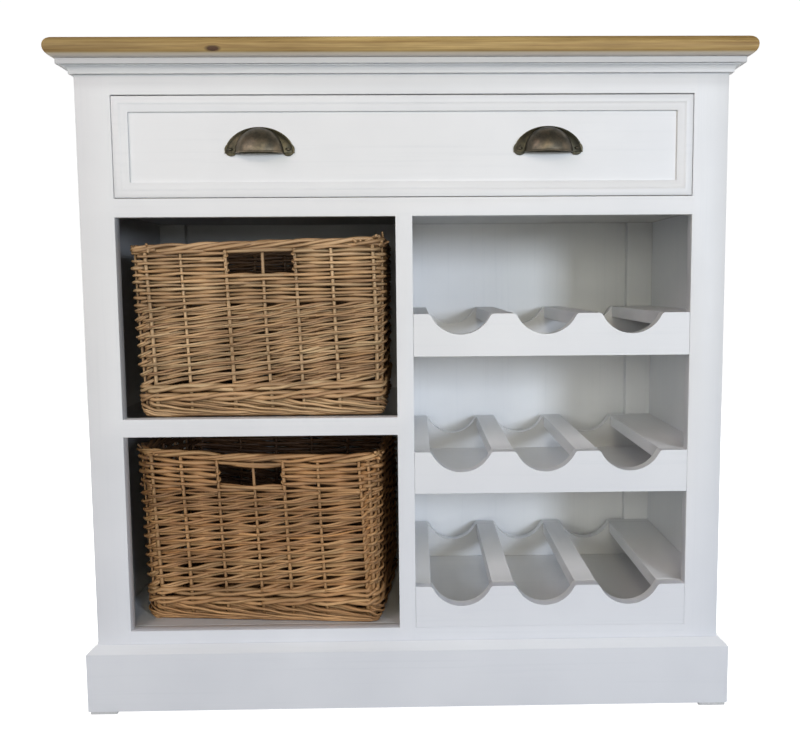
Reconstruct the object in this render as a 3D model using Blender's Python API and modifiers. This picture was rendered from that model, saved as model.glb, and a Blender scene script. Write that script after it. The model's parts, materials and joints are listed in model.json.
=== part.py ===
"""A painted storage cabinet with a pine top: one wide drawer, two bays with wicker baskets and a bottle rack.

Lengths are in metres. X runs to the right, Y to the back and Z up. The origin is on the floor, under the
middle of the top board.
"""

import math

import bmesh
import bpy

# Cabinet as a whole
TOP_WIDTH = 0.900
TOP_DEPTH = 0.400
TOTAL_HEIGHT = 0.890

# Gaps and eased edges
JOINT_GAP = 0.0003
EDGE_EASE = 0.0005

# Top board
TOP_THICKNESS = 0.025
TOP_OVERHANG = 0.028
BULLNOSE_RADIUS = 0.012

# Cornice under the top board
CORNICE_HEIGHT = 0.017
CORNICE_PROJECTION = 0.0165
CORNICE_FILLET_HEIGHT = 0.007
CORNICE_QUIRK = 0.001
COVE_PROJECTION = 0.0105
CORNICE_FOOT_PROJECTION = 0.0048
CORNICE_FOOT_HEIGHT = 0.0012

# Face frame
FRAME_THICKNESS = 0.020
STILE_WIDTH = 0.045
CENTRE_STILE_WIDTH = 0.022
CENTRE_STILE_OFFSET = -0.0015
RAIL_TOP_HEIGHT = 0.0425
RAIL_MIDDLE_HEIGHT = 0.024
RAIL_BOTTOM_HEIGHT = 0.050
DRAWER_OPENING_HEIGHT = 0.1315
FLOOR_HEIGHT = 0.112
LOWER_BAY_HEIGHT = 0.266

# Case behind the face frame
SIDE_PANEL_THICKNESS = 0.009
REAR_POST_WIDTH = 0.050
REAR_POST_THICKNESS = 0.018
BACK_PANEL_THICKNESS = 0.006
PARTITION_THICKNESS = 0.018
SHELF_THICKNESS = 0.0235
BOARD_THICKNESS = 0.012

# Plinth and feet
PLINTH_THICKNESS = 0.0125
PLINTH_HEIGHT = 0.089
PLINTH_TOP_FLAT = 0.001
PLINTH_CHAMFER_HEIGHT = 0.0095
FOOT_HEIGHT = 0.005
FOOT_LENGTH = 0.036
FOOT_INSET = 0.002

# Bottle rack
RACK_RAIL_HEIGHT = 0.0565
REAR_RAIL_THICKNESS = 0.018
TIER_PITCH = 0.185
TIERS = 3
SCALLOP_RADIUS = 0.0435
SCALLOP_DEPTH = 0.0275
SCALLOP_SHOULDER_RADIUS = 0.0055
BOTTLE_PITCH = 0.114
FIRST_BOTTLE = 0.063
LAST_RAIL_FLAT = 0.020
SLAT_WIDTH = 0.030
SLAT_THICKNESS = 0.018
RACK_FLOOR_THICKNESS = 0.003

# Drawer
DRAWER_GAP = 0.002
DRAWER_BOTTOM_GAP = 0.0025
DRAWER_PANEL_THICKNESS = 0.013
DRAWER_SIDE_THICKNESS = 0.012
DRAWER_SIDE_HEIGHT = 0.105
DRAWER_BOTTOM_THICKNESS = 0.005
GROOVE_RISE = 0.008
GROOVE_DEPTH = 0.005
DRAWER_STOP_GAP = 0.0015
GUIDE_CLEARANCE = 0.001
GUIDE_HEIGHT = 0.024
GUIDE_WEB_THICKNESS = 0.013
KICKER_THICKNESS = 0.012
KICKER_CLEARANCE = 0.0015
KICKER_REACH = 0.010

# Mitred moulding on the drawer front
MOULDING_RELIEF = 0.007
MOULDING_FLAT = 0.009
MOULDING_WIDTH = 0.0215
MOULDING_STEP = 0.0015
MOULDING_LIP = 0.0015

# Cup pulls
PULL_SPACING = 0.3755
PULL_DROP = 0.0115
PULL_WIDTH = 0.088
PULL_HEIGHT = 0.035
PULL_FLANGE_THICKNESS = 0.002
PULL_EAR_RADIUS = 0.0078
PULL_EAR_DROP = 0.0022
PULL_SILL = 0.0012
CUP_WIDTH = 0.058
CUP_HEIGHT = 0.032
CUP_PROJECTION = 0.024
CUP_WALL = 0.0016

# Wicker baskets
BASKET_SIDE_CLEARANCE = 0.0105
BASKET_HEADROOM = 0.028
BASKET_DEPTH = 0.285
BASKET_SETBACK = 0.012
BASKET_TAPER = 0.010
BASKET_CORNER_RADIUS = 0.026
BASKET_WALL = 0.008
BASKET_BAND_HEIGHT = 0.030
BASKET_BAND_PROUD = 0.002
BASKET_RIM_RADIUS = 0.0065
HAND_HOLE_WIDTH = 0.084
HAND_HOLE_HEIGHT = 0.028
HAND_HOLE_STAKE = 0.005
HAND_HOLE_BELOW_RIM = 0.017
LOWER_BASKET_TURN = math.radians(-3.5)

# Smoothness of the curves
BULLNOSE_STEPS = 8
COVE_STEPS = 6
SHOULDER_STEPS = 4
SCALLOP_STEPS = 14
MOULDING_STEPS = 5
CUP_STEPS = 24
FLANGE_STEPS = 16
EAR_STEPS = 8
BASKET_CORNER_STEPS = 5
RIM_SIDES = 1

# Planes that the pieces share
FRONT = TOP_OVERHANG - TOP_DEPTH / 2
BACK = TOP_DEPTH / 2
FRAME_BACK = FRONT + FRAME_THICKNESS
BACK_PANEL_FRONT = BACK - BACK_PANEL_THICKNESS
POST_FRONT = BACK_PANEL_FRONT - REAR_POST_THICKNESS
REAR_RAIL_FRONT = POST_FRONT - JOINT_GAP - REAR_RAIL_THICKNESS
BODY_HALF = TOP_WIDTH / 2 - TOP_OVERHANG
OPENING_HALF = BODY_HALF - STILE_WIDTH
SIDE_INNER = BODY_HALF - SIDE_PANEL_THICKNESS
POST_INNER = BODY_HALF - REAR_POST_WIDTH
CENTRE_LEFT = CENTRE_STILE_OFFSET - CENTRE_STILE_WIDTH / 2
CENTRE_RIGHT = CENTRE_STILE_OFFSET + CENTRE_STILE_WIDTH / 2
PARTITION_LEFT = CENTRE_STILE_OFFSET - PARTITION_THICKNESS / 2
PARTITION_RIGHT = CENTRE_STILE_OFFSET + PARTITION_THICKNESS / 2

# Heights that the pieces share
UNDER_TOP = TOTAL_HEIGHT - TOP_THICKNESS
DRAWER_OPENING_TOP = UNDER_TOP - RAIL_TOP_HEIGHT
DRAWER_OPENING_BOTTOM = DRAWER_OPENING_TOP - DRAWER_OPENING_HEIGHT
BAY_TOP = DRAWER_OPENING_BOTTOM - RAIL_MIDDLE_HEIGHT
DECK_BOTTOM = DRAWER_OPENING_BOTTOM - BOARD_THICKNESS
SHELF_BOTTOM = FLOOR_HEIGHT + LOWER_BAY_HEIGHT
SHELF_TOP = SHELF_BOTTOM + SHELF_THICKNESS

# Drawer and its guides
DRAWER_HALF = OPENING_HALF - DRAWER_GAP
DRAWER_BOX_HALF = min(OPENING_HALF, POST_INNER) - GUIDE_CLEARANCE
DRAWER_PANEL_FRONT = FRONT + MOULDING_RELIEF
DRAWER_PANEL_BACK = DRAWER_PANEL_FRONT + DRAWER_PANEL_THICKNESS
DRAWER_REAR = BACK_PANEL_FRONT - DRAWER_STOP_GAP
DRAWER_SIDE_BOTTOM = DRAWER_OPENING_BOTTOM + JOINT_GAP
DRAWER_SIDE_TOP = DRAWER_SIDE_BOTTOM + DRAWER_SIDE_HEIGHT
GROOVE_BOTTOM = DRAWER_SIDE_BOTTOM + GROOVE_RISE
DRAWER_BOTTOM_TOP = GROOVE_BOTTOM + JOINT_GAP + DRAWER_BOTTOM_THICKNESS

# Baskets
BASKET_WIDTH = CENTRE_LEFT + OPENING_HALF - 2 * BASKET_SIDE_CLEARANCE
BASKET_CENTRE = (CENTRE_LEFT - OPENING_HALF) / 2
BASKET_HEIGHT = min(LOWER_BAY_HEIGHT, BAY_TOP - SHELF_TOP) - BASKET_HEADROOM

# Finishes: base colour, roughness, metallic
FINISHES = {
    "white_paint": ((0.80, 0.81, 0.82), 0.45, 0.0),
    "waxed_pine": ((0.42, 0.28, 0.12), 0.50, 0.0),
    "drawer_wood": ((0.60, 0.45, 0.28), 0.60, 0.0),
    "antique_brass": ((0.12, 0.10, 0.065), 0.45, 0.9),
    "wicker": ((0.40, 0.24, 0.11), 0.70, 0.0),
    "foot_pad": ((0.70, 0.71, 0.72), 0.60, 0.0),
}


def clear_scene():
    """Removes what the scene holds."""
    for obj in list(bpy.data.objects):
        bpy.data.objects.remove(obj, do_unlink=True)


def new_collection(name, hidden=False):
    """A collection in the scene, left out of renders if it is hidden."""
    collection = bpy.data.collections.new(name)
    collection.hide_render = hidden
    bpy.context.scene.collection.children.link(collection)
    return collection


def make_finish(name):
    """One Principled material."""
    colour, roughness, metallic = FINISHES[name]
    material = bpy.data.materials.new(name)
    material.use_nodes = True
    shader = material.node_tree.nodes["Principled BSDF"]
    shader.inputs["Base Color"].default_value = (*colour, 1)
    shader.inputs["Roughness"].default_value = roughness
    shader.inputs["Metallic"].default_value = metallic
    return material


def add_piece(name, data, finish, location=(0, 0, 0)):
    """Puts a mesh or a curve in the cabinet as a named piece."""
    obj = bpy.data.objects.new(name, data)
    obj.location = location
    if not data.materials:
        data.materials.append(MATERIALS[finish])
    CABINET.objects.link(obj)
    return obj


def ease_edges(obj):
    """Takes the sharpness off the edges."""
    bevel = obj.modifiers.new("eased edges", "BEVEL")
    bevel.width = EDGE_EASE
    bevel.segments = 1
    bevel.limit_method = "ANGLE"
    bevel.angle_limit = math.radians(40)


def finish_mesh(mesh, name, smooth_angle=None):
    """Turns a bmesh into mesh data with its faces pointing out."""
    bmesh.ops.recalc_face_normals(mesh, faces=mesh.faces)
    data = bpy.data.meshes.new(name)
    mesh.to_mesh(data)
    mesh.free()
    if smooth_angle:
        data.shade_smooth()
        data.set_sharp_from_angle(angle=smooth_angle)
    return data


def box(name, x, y, z, finish):
    """A board or batten between two places on each axis, with its origin in its middle."""
    spans = (x, y, z)
    size = [high - low for low, high in spans]
    mesh = bmesh.new()
    cube = bmesh.ops.create_cube(mesh, size=1)
    bmesh.ops.scale(mesh, vec=size, verts=cube["verts"])
    middle = [(low + high) / 2 for low, high in spans]
    obj = add_piece(name, finish_mesh(mesh, name), finish, middle)
    ease_edges(obj)
    return obj


def plate(name, outline, span, finish, upright=False):
    """A flat outline given thickness: a level board between two heights, or an upright one between two depths."""
    curve = bpy.data.curves.new(name, "CURVE")
    curve.dimensions = "2D"
    curve.fill_mode = "BOTH"
    curve.extrude = (span[1] - span[0]) / 2
    spline = curve.splines.new("POLY")
    spline.points.add(len(outline) - 1)
    for point, (across, along) in zip(spline.points, outline):
        point.co = (across, along, 0, 1)
    spline.use_cyclic_u = True
    middle = (span[0] + span[1]) / 2
    obj = add_piece(name, curve, finish, (0, middle, 0) if upright else (0, 0, middle))
    if upright:
        obj.rotation_euler.x = math.pi / 2
    weld = obj.modifiers.new("join caps", "WELD")
    weld.merge_threshold = JOINT_GAP / 10
    ease_edges(obj)
    return obj


def loft(rings, closed=False, caps=()):
    """A skin through rings of as many points each. Closed joins the last ring to the first; caps fill rings."""
    mesh = bmesh.new()
    loops = [[mesh.verts.new(point) for point in ring] for ring in rings]
    following = loops[1:] + loops[:1] if closed else loops[1:]
    for loop, after in zip(loops, following):
        for i in range(len(loop)):
            j = (i + 1) % len(loop)
            mesh.faces.new((loop[i], loop[j], after[j], after[i]))
    for cap in caps:
        mesh.faces.new(loops[cap])
    return mesh


def arc(centre, radii, start, end, steps):
    """Points along part of a circle or an ellipse, from one angle to another."""
    angles = [start + (end - start) * i / steps for i in range(steps + 1)]
    return [(centre[0] + radii[0] * math.cos(a), centre[1] + radii[1] * math.sin(a)) for a in angles]


def boolean(base, operation, other):
    """Adds a Boolean with a hidden helper object."""
    modifier = base.modifiers.new(operation.lower(), "BOOLEAN")
    modifier.operation = operation
    modifier.solver = "EXACT"
    modifier.object = other
    other.hide_render = True
    other.display_type = "WIRE"


def helper(name, data, location=(0, 0, 0)):
    """A cutter, or a shape to be joined to a piece."""
    obj = bpy.data.objects.new(name, data)
    obj.location = location
    HELPERS.objects.link(obj)
    return obj


def helper_box(name, x, y, z):
    """A box-shaped helper between two places on each axis."""
    mesh = bmesh.new()
    cube = bmesh.ops.create_cube(mesh, size=1)
    bmesh.ops.scale(mesh, vec=[high - low for low, high in (x, y, z)], verts=cube["verts"])
    return helper(name, finish_mesh(mesh, name), [(low + high) / 2 for low, high in (x, y, z)])


def helper_tube(name, path, radius, closed):
    """A round rod along a line of points, as a mesh with welded caps."""
    curve = bpy.data.curves.new(name, "CURVE")
    curve.dimensions = "3D"
    curve.bevel_depth = radius
    curve.bevel_resolution = RIM_SIDES
    curve.use_fill_caps = True
    spline = curve.splines.new("POLY")
    spline.points.add(len(path) - 1)
    for point, place in zip(spline.points, path):
        point.co = (*place, 1)
    spline.use_cyclic_u = closed
    rod = helper(name, curve)
    data = evaluated_mesh(rod, name)
    bpy.data.objects.remove(rod)
    return helper(name, data)


def evaluated_mesh(obj, name):
    """The object's mesh after its modifiers, with coincident points joined."""
    graph = bpy.context.evaluated_depsgraph_get()
    data = bpy.data.meshes.new_from_object(obj.evaluated_get(graph))
    mesh = bmesh.new()
    mesh.from_mesh(data)
    bmesh.ops.remove_doubles(mesh, verts=mesh.verts, dist=JOINT_GAP / 100)
    mesh.to_mesh(data)
    mesh.free()
    data.name = name
    return data


def make_top_board():
    """The pine board: its front and both ends are rounded over, and its back edge is square."""
    rings = []
    core = TOP_THICKNESS / 2 - BULLNOSE_RADIUS
    for side in (-1, 1):
        for step in range(BULLNOSE_STEPS + 1):
            angle = (step / BULLNOSE_STEPS - (side < 0)) * math.pi / 2
            inset = BULLNOSE_RADIUS * (1 - math.cos(angle))
            z = UNDER_TOP + TOP_THICKNESS / 2 + side * core + BULLNOSE_RADIUS * math.sin(angle)
            x = TOP_WIDTH / 2 - inset
            y = inset - TOP_DEPTH / 2
            rings.append([(-x, y, z), (x, y, z), (x, BACK, z), (-x, BACK, z)])
    mesh = loft(rings, caps=(0, -1))
    add_piece("top_board", finish_mesh(mesh, "top_board", math.radians(35)), "waxed_pine")


def wrap_moulding(part, profile, top, finish):
    """A moulding round the front and both sides, mitred at the front corners.

    The profile's points are (projection from the case, drop from the top).
    """
    mitre = JOINT_GAP / math.sqrt(2)
    section = [(out + JOINT_GAP, top - drop) for out, drop in profile]
    front = []
    for side in (-1, 1):
        front.append([(side * (BODY_HALF + out - mitre), FRONT - out, z) for out, z in section])
    mesh = loft(front, caps=(0, 1))
    add_piece(f"{part}_front", finish_mesh(mesh, f"{part}_front"), finish)
    for side, hand in ((-1, "left"), (1, "right")):
        near = [(side * (BODY_HALF + out), FRONT - out + mitre, z) for out, z in section]
        far = [(x, BACK, z) for x, _, z in near]
        mesh = loft([near, far], caps=(0, 1))
        add_piece(f"{part}_{hand}", finish_mesh(mesh, f"{part}_{hand}"), finish)


def cornice_profile():
    """A fillet above a hollow cove, down to a thin foot."""
    cove_top = CORNICE_FILLET_HEIGHT + CORNICE_QUIRK
    cove_bottom = CORNICE_HEIGHT - CORNICE_FOOT_HEIGHT
    radii = (COVE_PROJECTION - CORNICE_FOOT_PROJECTION, cove_bottom - cove_top)
    cove = arc((COVE_PROJECTION, cove_bottom), radii, -math.pi / 2, -math.pi, COVE_STEPS)
    fillet = [(0, 0), (CORNICE_PROJECTION, 0), (CORNICE_PROJECTION, CORNICE_FILLET_HEIGHT)]
    quirk = [(COVE_PROJECTION, CORNICE_FILLET_HEIGHT)]
    return fillet + quirk + cove + [(CORNICE_FOOT_PROJECTION, CORNICE_HEIGHT), (0, CORNICE_HEIGHT)]


def plinth_profile():
    """A flat board with a wide chamfer along its top."""
    chamfer = [(PLINTH_TOP_FLAT, 0), (PLINTH_THICKNESS, PLINTH_CHAMFER_HEIGHT)]
    return [(0, 0)] + chamfer + [(PLINTH_THICKNESS, PLINTH_HEIGHT), (0, PLINTH_HEIGHT)]


def make_face_frame():
    """Three uprights and three rails in one plane."""
    depth = (FRONT, FRAME_BACK)
    tall = (FOOT_HEIGHT, UNDER_TOP - JOINT_GAP)
    between = (JOINT_GAP - OPENING_HALF, OPENING_HALF - JOINT_GAP)
    box("stile_left", (-BODY_HALF, -OPENING_HALF), depth, tall, "white_paint")
    box("stile_right", (OPENING_HALF, BODY_HALF), depth, tall, "white_paint")
    box("rail_top", between, depth, (DRAWER_OPENING_TOP, UNDER_TOP - JOINT_GAP), "white_paint")
    box("rail_middle", between, depth, (BAY_TOP, DRAWER_OPENING_BOTTOM), "white_paint")
    box("rail_bottom", between, depth, (FLOOR_HEIGHT - RAIL_BOTTOM_HEIGHT, FLOOR_HEIGHT), "white_paint")
    centre_height = (FLOOR_HEIGHT + JOINT_GAP, BAY_TOP - JOINT_GAP)
    box("centre_stile", (CENTRE_LEFT, CENTRE_RIGHT), depth, centre_height, "white_paint")


def make_case():
    """Side panels, rear posts and the back panel."""
    tall = (FOOT_HEIGHT, UNDER_TOP - JOINT_GAP)
    panel_depth = (FRAME_BACK + JOINT_GAP, POST_FRONT - JOINT_GAP)
    post_depth = (POST_FRONT, BACK_PANEL_FRONT - JOINT_GAP)
    for side, hand in ((-1, "left"), (1, "right")):
        panel = sorted((side * SIDE_INNER, side * BODY_HALF))
        post = sorted((side * POST_INNER, side * BODY_HALF))
        box(f"side_panel_{hand}", panel, panel_depth, tall, "white_paint")
        box(f"rear_post_{hand}", post, post_depth, tall, "white_paint")
    box("back_panel", (-BODY_HALF, BODY_HALF), (BACK_PANEL_FRONT, BACK), tall, "white_paint")


def full_board_outline():
    """A board between the side panels, cut out round the rear posts."""
    side = SIDE_INNER - JOINT_GAP
    tab = POST_INNER - JOINT_GAP
    front = FRAME_BACK + JOINT_GAP
    shoulder = POST_FRONT - JOINT_GAP
    rear = BACK_PANEL_FRONT - JOINT_GAP
    half = [(side, front), (side, shoulder), (tab, shoulder), (tab, rear)]
    return half + [(-x, y) for x, y in reversed(half)]


def shelf_outline():
    """The shelf of the basket bays: flush with the face frame in front, cut out round stile, centre stile and post."""
    left = JOINT_GAP - OPENING_HALF
    right = CENTRE_LEFT - JOINT_GAP
    wide_left = JOINT_GAP - SIDE_INNER
    wide_right = PARTITION_LEFT - JOINT_GAP
    behind = FRAME_BACK + JOINT_GAP
    shoulder = POST_FRONT - JOINT_GAP
    rear = BACK_PANEL_FRONT - JOINT_GAP
    tab = JOINT_GAP - POST_INNER
    front_edge = [(left, behind), (left, FRONT), (right, FRONT), (right, behind)]
    return front_edge + [
        (wide_right, behind),
        (wide_right, rear),
        (tab, rear),
        (tab, shoulder),
        (wide_left, shoulder),
        (wide_left, behind),
    ]


def make_boards():
    """The boards inside the case."""
    deck = (DECK_BOTTOM, DRAWER_OPENING_BOTTOM)
    plate("drawer_deck", full_board_outline(), deck, "white_paint")
    bottom = (FLOOR_HEIGHT - BOARD_THICKNESS, FLOOR_HEIGHT)
    plate("bottom_board", full_board_outline(), bottom, "white_paint")
    plate("basket_shelf", shelf_outline(), (SHELF_BOTTOM, SHELF_TOP), "white_paint")
    depth = (FRAME_BACK + JOINT_GAP, BACK_PANEL_FRONT - JOINT_GAP)
    tall = (FLOOR_HEIGHT + JOINT_GAP, DECK_BOTTOM - JOINT_GAP)
    box("partition", (PARTITION_LEFT, PARTITION_RIGHT), depth, tall, "white_paint")


def make_feet():
    """A thin pad under each corner."""
    outer = BODY_HALF + PLINTH_THICKNESS - FOOT_INSET
    front = FRONT - PLINTH_THICKNESS + FOOT_INSET
    for side, hand in ((-1, "left"), (1, "right")):
        across = sorted((side * (outer - FOOT_LENGTH), side * outer))
        depths = (("front", (front, front + FOOT_LENGTH)), ("rear", (BACK - FOOT_LENGTH, BACK)))
        for end, along in depths:
            box(f"foot_{end}_{hand}", across, along, (0, FOOT_HEIGHT - JOINT_GAP), "foot_pad")


def bottle_centres():
    """Where the bottles lie, across the rack: as many as leave a flat at the end of the rail."""
    room = OPENING_HALF - CENTRE_RIGHT - FIRST_BOTTLE - SCALLOP_RADIUS - LAST_RAIL_FLAT
    count = 1 + int(room / BOTTLE_PITCH)
    return [CENTRE_RIGHT + FIRST_BOTTLE + i * BOTTLE_PITCH for i in range(count)]


def scallop(centre, top):
    """A round seat for a bottle with rounded shoulders, from right to left along the top of a rail."""
    seat = top - SCALLOP_DEPTH + SCALLOP_RADIUS
    fillet = top - SCALLOP_SHOULDER_RADIUS
    reach = SCALLOP_RADIUS + SCALLOP_SHOULDER_RADIUS
    away = math.sqrt(reach**2 - (seat - fillet) ** 2)
    slope = math.asin((seat - fillet) / reach)
    small = (SCALLOP_SHOULDER_RADIUS, SCALLOP_SHOULDER_RADIUS)
    round_seat = (SCALLOP_RADIUS, SCALLOP_RADIUS)
    right = arc((centre + away, fillet), small, math.pi / 2, math.pi - slope, SHOULDER_STEPS)
    bottom = arc((centre, seat), round_seat, -slope, slope - math.pi, SCALLOP_STEPS)
    left = arc((centre - away, fillet), small, slope, math.pi / 2, SHOULDER_STEPS)
    return right + bottom[1:-1] + left


def scalloped_rail(name, x, y, low, centres):
    """An upright rail with a row of bottle seats along its top."""
    top = low + RACK_RAIL_HEIGHT
    outline = [(x[0], low), (x[1], low), (x[1], top)]
    for centre in reversed(centres):
        outline += scallop(centre, top)
    plate(name, outline + [(x[0], top)], y, "white_paint", upright=True)


def make_rack_tier(number, low):
    """One tier: front and rear rails, the slats between them and, above the bottom board, a thin floor."""
    centres = bottle_centres()
    inside = (PARTITION_RIGHT + JOINT_GAP, SIDE_INNER - JOINT_GAP)
    between = (FRAME_BACK + JOINT_GAP, REAR_RAIL_FRONT - JOINT_GAP)
    in_frame = (CENTRE_RIGHT + JOINT_GAP, OPENING_HALF - JOINT_GAP)
    scalloped_rail(f"rack_front_rail_{number}", in_frame, (FRONT, FRAME_BACK), low, centres)
    rear = (REAR_RAIL_FRONT, POST_FRONT - JOINT_GAP)
    scalloped_rail(f"rack_rear_rail_{number}", inside, rear, low, centres)
    top = low + RACK_RAIL_HEIGHT
    channel = BOTTLE_PITCH - SLAT_WIDTH
    edges = [inside[0]]
    for centre in centres:
        edges += [centre - channel / 2, centre + channel / 2]
    edges.append(inside[1])
    for index in range(len(centres) + 1):
        x = edges[2 * index : 2 * index + 2]
        box(f"rack_slat_{number}_{index + 1}", x, between, (top - SLAT_THICKNESS, top), "white_paint")
    if number < TIERS:
        box(f"rack_floor_{number}", inside, between, (low, low + RACK_FLOOR_THICKNESS), "white_paint")


def make_rack():
    """The tiers, numbered from the top. The lowest stands on the bottom rail and bottom board."""
    for number in range(1, TIERS + 1):
        make_rack_tier(number, FLOOR_HEIGHT + JOINT_GAP + (TIERS - number) * TIER_PITCH)


def make_drawer_guides():
    """Battens on the deck at each side of the drawer, with a kicker over the drawer's side."""
    inner = DRAWER_BOX_HALF + GUIDE_CLEARANCE
    outer = SIDE_INNER - JOINT_GAP
    web = outer - GUIDE_WEB_THICKNESS
    low = DRAWER_OPENING_BOTTOM + JOINT_GAP
    kicker = DRAWER_SIDE_TOP + KICKER_CLEARANCE
    high = kicker + KICKER_THICKNESS
    section = [(inner, low), (outer, low), (outer, high), (inner - KICKER_REACH, high)]
    section += [(inner - KICKER_REACH, kicker), (web, kicker), (web, low + GUIDE_HEIGHT)]
    section += [(inner, low + GUIDE_HEIGHT)]
    depth = (FRAME_BACK + JOINT_GAP, POST_FRONT - JOINT_GAP)
    plate("drawer_guide_right", section, depth, "drawer_wood", upright=True)
    mirrored = [(-x, z) for x, z in reversed(section)]
    plate("drawer_guide_left", mirrored, depth, "drawer_wood", upright=True)


def make_drawer_box():
    """The drawer's sides, grooved for its bottom, and its back and bottom."""
    depth = (DRAWER_PANEL_BACK + JOINT_GAP, DRAWER_REAR)
    inner = DRAWER_BOX_HALF - DRAWER_SIDE_THICKNESS
    groove_top = DRAWER_BOTTOM_TOP + JOINT_GAP
    section = [(DRAWER_BOX_HALF, DRAWER_SIDE_BOTTOM), (DRAWER_BOX_HALF, DRAWER_SIDE_TOP)]
    section += [(inner, DRAWER_SIDE_TOP), (inner, groove_top), (inner + GROOVE_DEPTH, groove_top)]
    section += [(inner + GROOVE_DEPTH, GROOVE_BOTTOM), (inner, GROOVE_BOTTOM), (inner, DRAWER_SIDE_BOTTOM)]
    plate("drawer_side_right", section, depth, "drawer_wood", upright=True)
    mirrored = [(-x, z) for x, z in reversed(section)]
    plate("drawer_side_left", mirrored, depth, "drawer_wood", upright=True)
    back = (DRAWER_REAR - DRAWER_SIDE_THICKNESS, DRAWER_REAR)
    between = (JOINT_GAP - inner, inner - JOINT_GAP)
    box("drawer_back", between, back, (DRAWER_BOTTOM_TOP + JOINT_GAP, DRAWER_SIDE_TOP), "drawer_wood")
    in_grooves = inner + GROOVE_DEPTH - JOINT_GAP
    level = (GROOVE_BOTTOM + JOINT_GAP, DRAWER_BOTTOM_TOP)
    box("drawer_bottom", (-in_grooves, in_grooves), depth, level, "drawer_wood")


def make_drawer_front():
    """The front panel and the mitred moulding round its edge."""
    low = DRAWER_OPENING_BOTTOM + DRAWER_BOTTOM_GAP
    high = DRAWER_OPENING_TOP - DRAWER_GAP
    panel = (DRAWER_PANEL_FRONT, DRAWER_PANEL_BACK)
    box("drawer_front", (-DRAWER_HALF, DRAWER_HALF), panel, (low, high), "white_paint")
    slope_end = MOULDING_WIDTH - MOULDING_LIP
    slope_top = MOULDING_RELIEF - MOULDING_STEP
    radii = (slope_end - MOULDING_FLAT, slope_top - MOULDING_LIP)
    cove = arc((slope_end, slope_top), radii, math.pi, 3 * math.pi / 2, MOULDING_STEPS)
    profile = [(0, JOINT_GAP), (0, MOULDING_RELIEF), (MOULDING_FLAT, MOULDING_RELIEF)] + cove
    profile += [(MOULDING_WIDTH, MOULDING_LIP), (MOULDING_WIDTH, JOINT_GAP)]
    rings = []
    for inset, relief in profile:
        x = DRAWER_HALF - inset
        y = DRAWER_PANEL_FRONT - relief
        rings.append([(-x, y, low + inset), (x, y, low + inset), (x, y, high - inset), (-x, y, high - inset)])
    mesh = loft(rings, closed=True)
    add_piece("drawer_moulding", finish_mesh(mesh, "drawer_moulding", math.radians(30)), "white_paint")


def ellipsoid(name, width, projection, height):
    """A helper as wide as stated, and as deep and high on each side of its middle."""
    mesh = bmesh.new()
    bmesh.ops.create_uvsphere(mesh, u_segments=CUP_STEPS, v_segments=CUP_STEPS, radius=1)
    bmesh.ops.scale(mesh, vec=(width / 2, projection, height), verts=mesh.verts)
    return helper(name, finish_mesh(mesh, name))


def flange_outline():
    """The pull's flange, seen from the front: an arch that ends in a rounded ear at each side."""
    half = PULL_WIDTH / 2
    centre = (half - PULL_EAR_RADIUS, PULL_EAR_RADIUS - PULL_EAR_DROP)
    sill = math.acos((centre[1] - PULL_SILL) / PULL_EAR_RADIUS)
    meeting = math.pi / 4
    radii = (PULL_EAR_RADIUS, PULL_EAR_RADIUS)
    ear = arc(centre, radii, -math.pi / 2 - sill, meeting, EAR_STEPS)
    lift = math.asin((ear[-1][1] + PULL_EAR_DROP / 2) / PULL_HEIGHT)
    arch = arc((0, 0), (half, PULL_HEIGHT), lift, math.pi - lift, FLANGE_STEPS)
    return ear + arch + [(-x, z) for x, z in reversed(ear)]


def pull_mesh():
    """A cup pull: a hollow quarter dome on a flange with a rounded ear at each side, open below and behind."""
    outline = flange_outline()
    mesh = loft([[(x, y, z) for x, z in outline] for y in (-PULL_FLANGE_THICKNESS, 0)], caps=(0, 1))
    blank = helper("flange", finish_mesh(mesh, "flange"))
    dome = ellipsoid("dome", CUP_WIDTH, CUP_PROJECTION, CUP_HEIGHT)
    wide = (-PULL_WIDTH, PULL_WIDTH)
    boolean(dome, "DIFFERENCE", helper_box("below", wide, wide, (-PULL_WIDTH, 0)))
    boolean(dome, "DIFFERENCE", helper_box("behind", wide, (-PULL_FLANGE_THICKNESS / 2, PULL_WIDTH), wide))
    boolean(blank, "UNION", helper("solid_dome", evaluated_mesh(dome, "solid_dome")))
    inner_size = (CUP_WIDTH - 2 * CUP_WALL, CUP_PROJECTION - CUP_WALL, CUP_HEIGHT - CUP_WALL)
    boolean(blank, "DIFFERENCE", ellipsoid("hollow", *inner_size))
    data = evaluated_mesh(blank, "cup_pull")
    data.shade_smooth()
    data.set_sharp_from_angle(angle=math.radians(35))
    return data


def make_pulls():
    """Two cup pulls on the drawer's panel."""
    data = pull_mesh()
    middle = (DRAWER_OPENING_BOTTOM + DRAWER_OPENING_TOP) / 2
    for side, hand in ((-1, "left"), (1, "right")):
        place = (side * PULL_SPACING / 2, DRAWER_PANEL_FRONT - JOINT_GAP, middle - PULL_DROP)
        add_piece(f"cup_pull_{hand}", data, "antique_brass", place)


def rounded_ring(half_width, half_depth, z):
    """A level rectangle with rounded corners."""
    ring = []
    radius = BASKET_CORNER_RADIUS
    for quarter, (side, end) in enumerate(((1, 1), (-1, 1), (-1, -1), (1, -1))):
        centre = (side * (half_width - radius), end * (half_depth - radius))
        start = quarter * math.pi / 2
        ring += arc(centre, (radius, radius), start, start + math.pi / 2, BASKET_CORNER_STEPS)
    return [(x, y, z) for x, y in ring]


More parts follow.
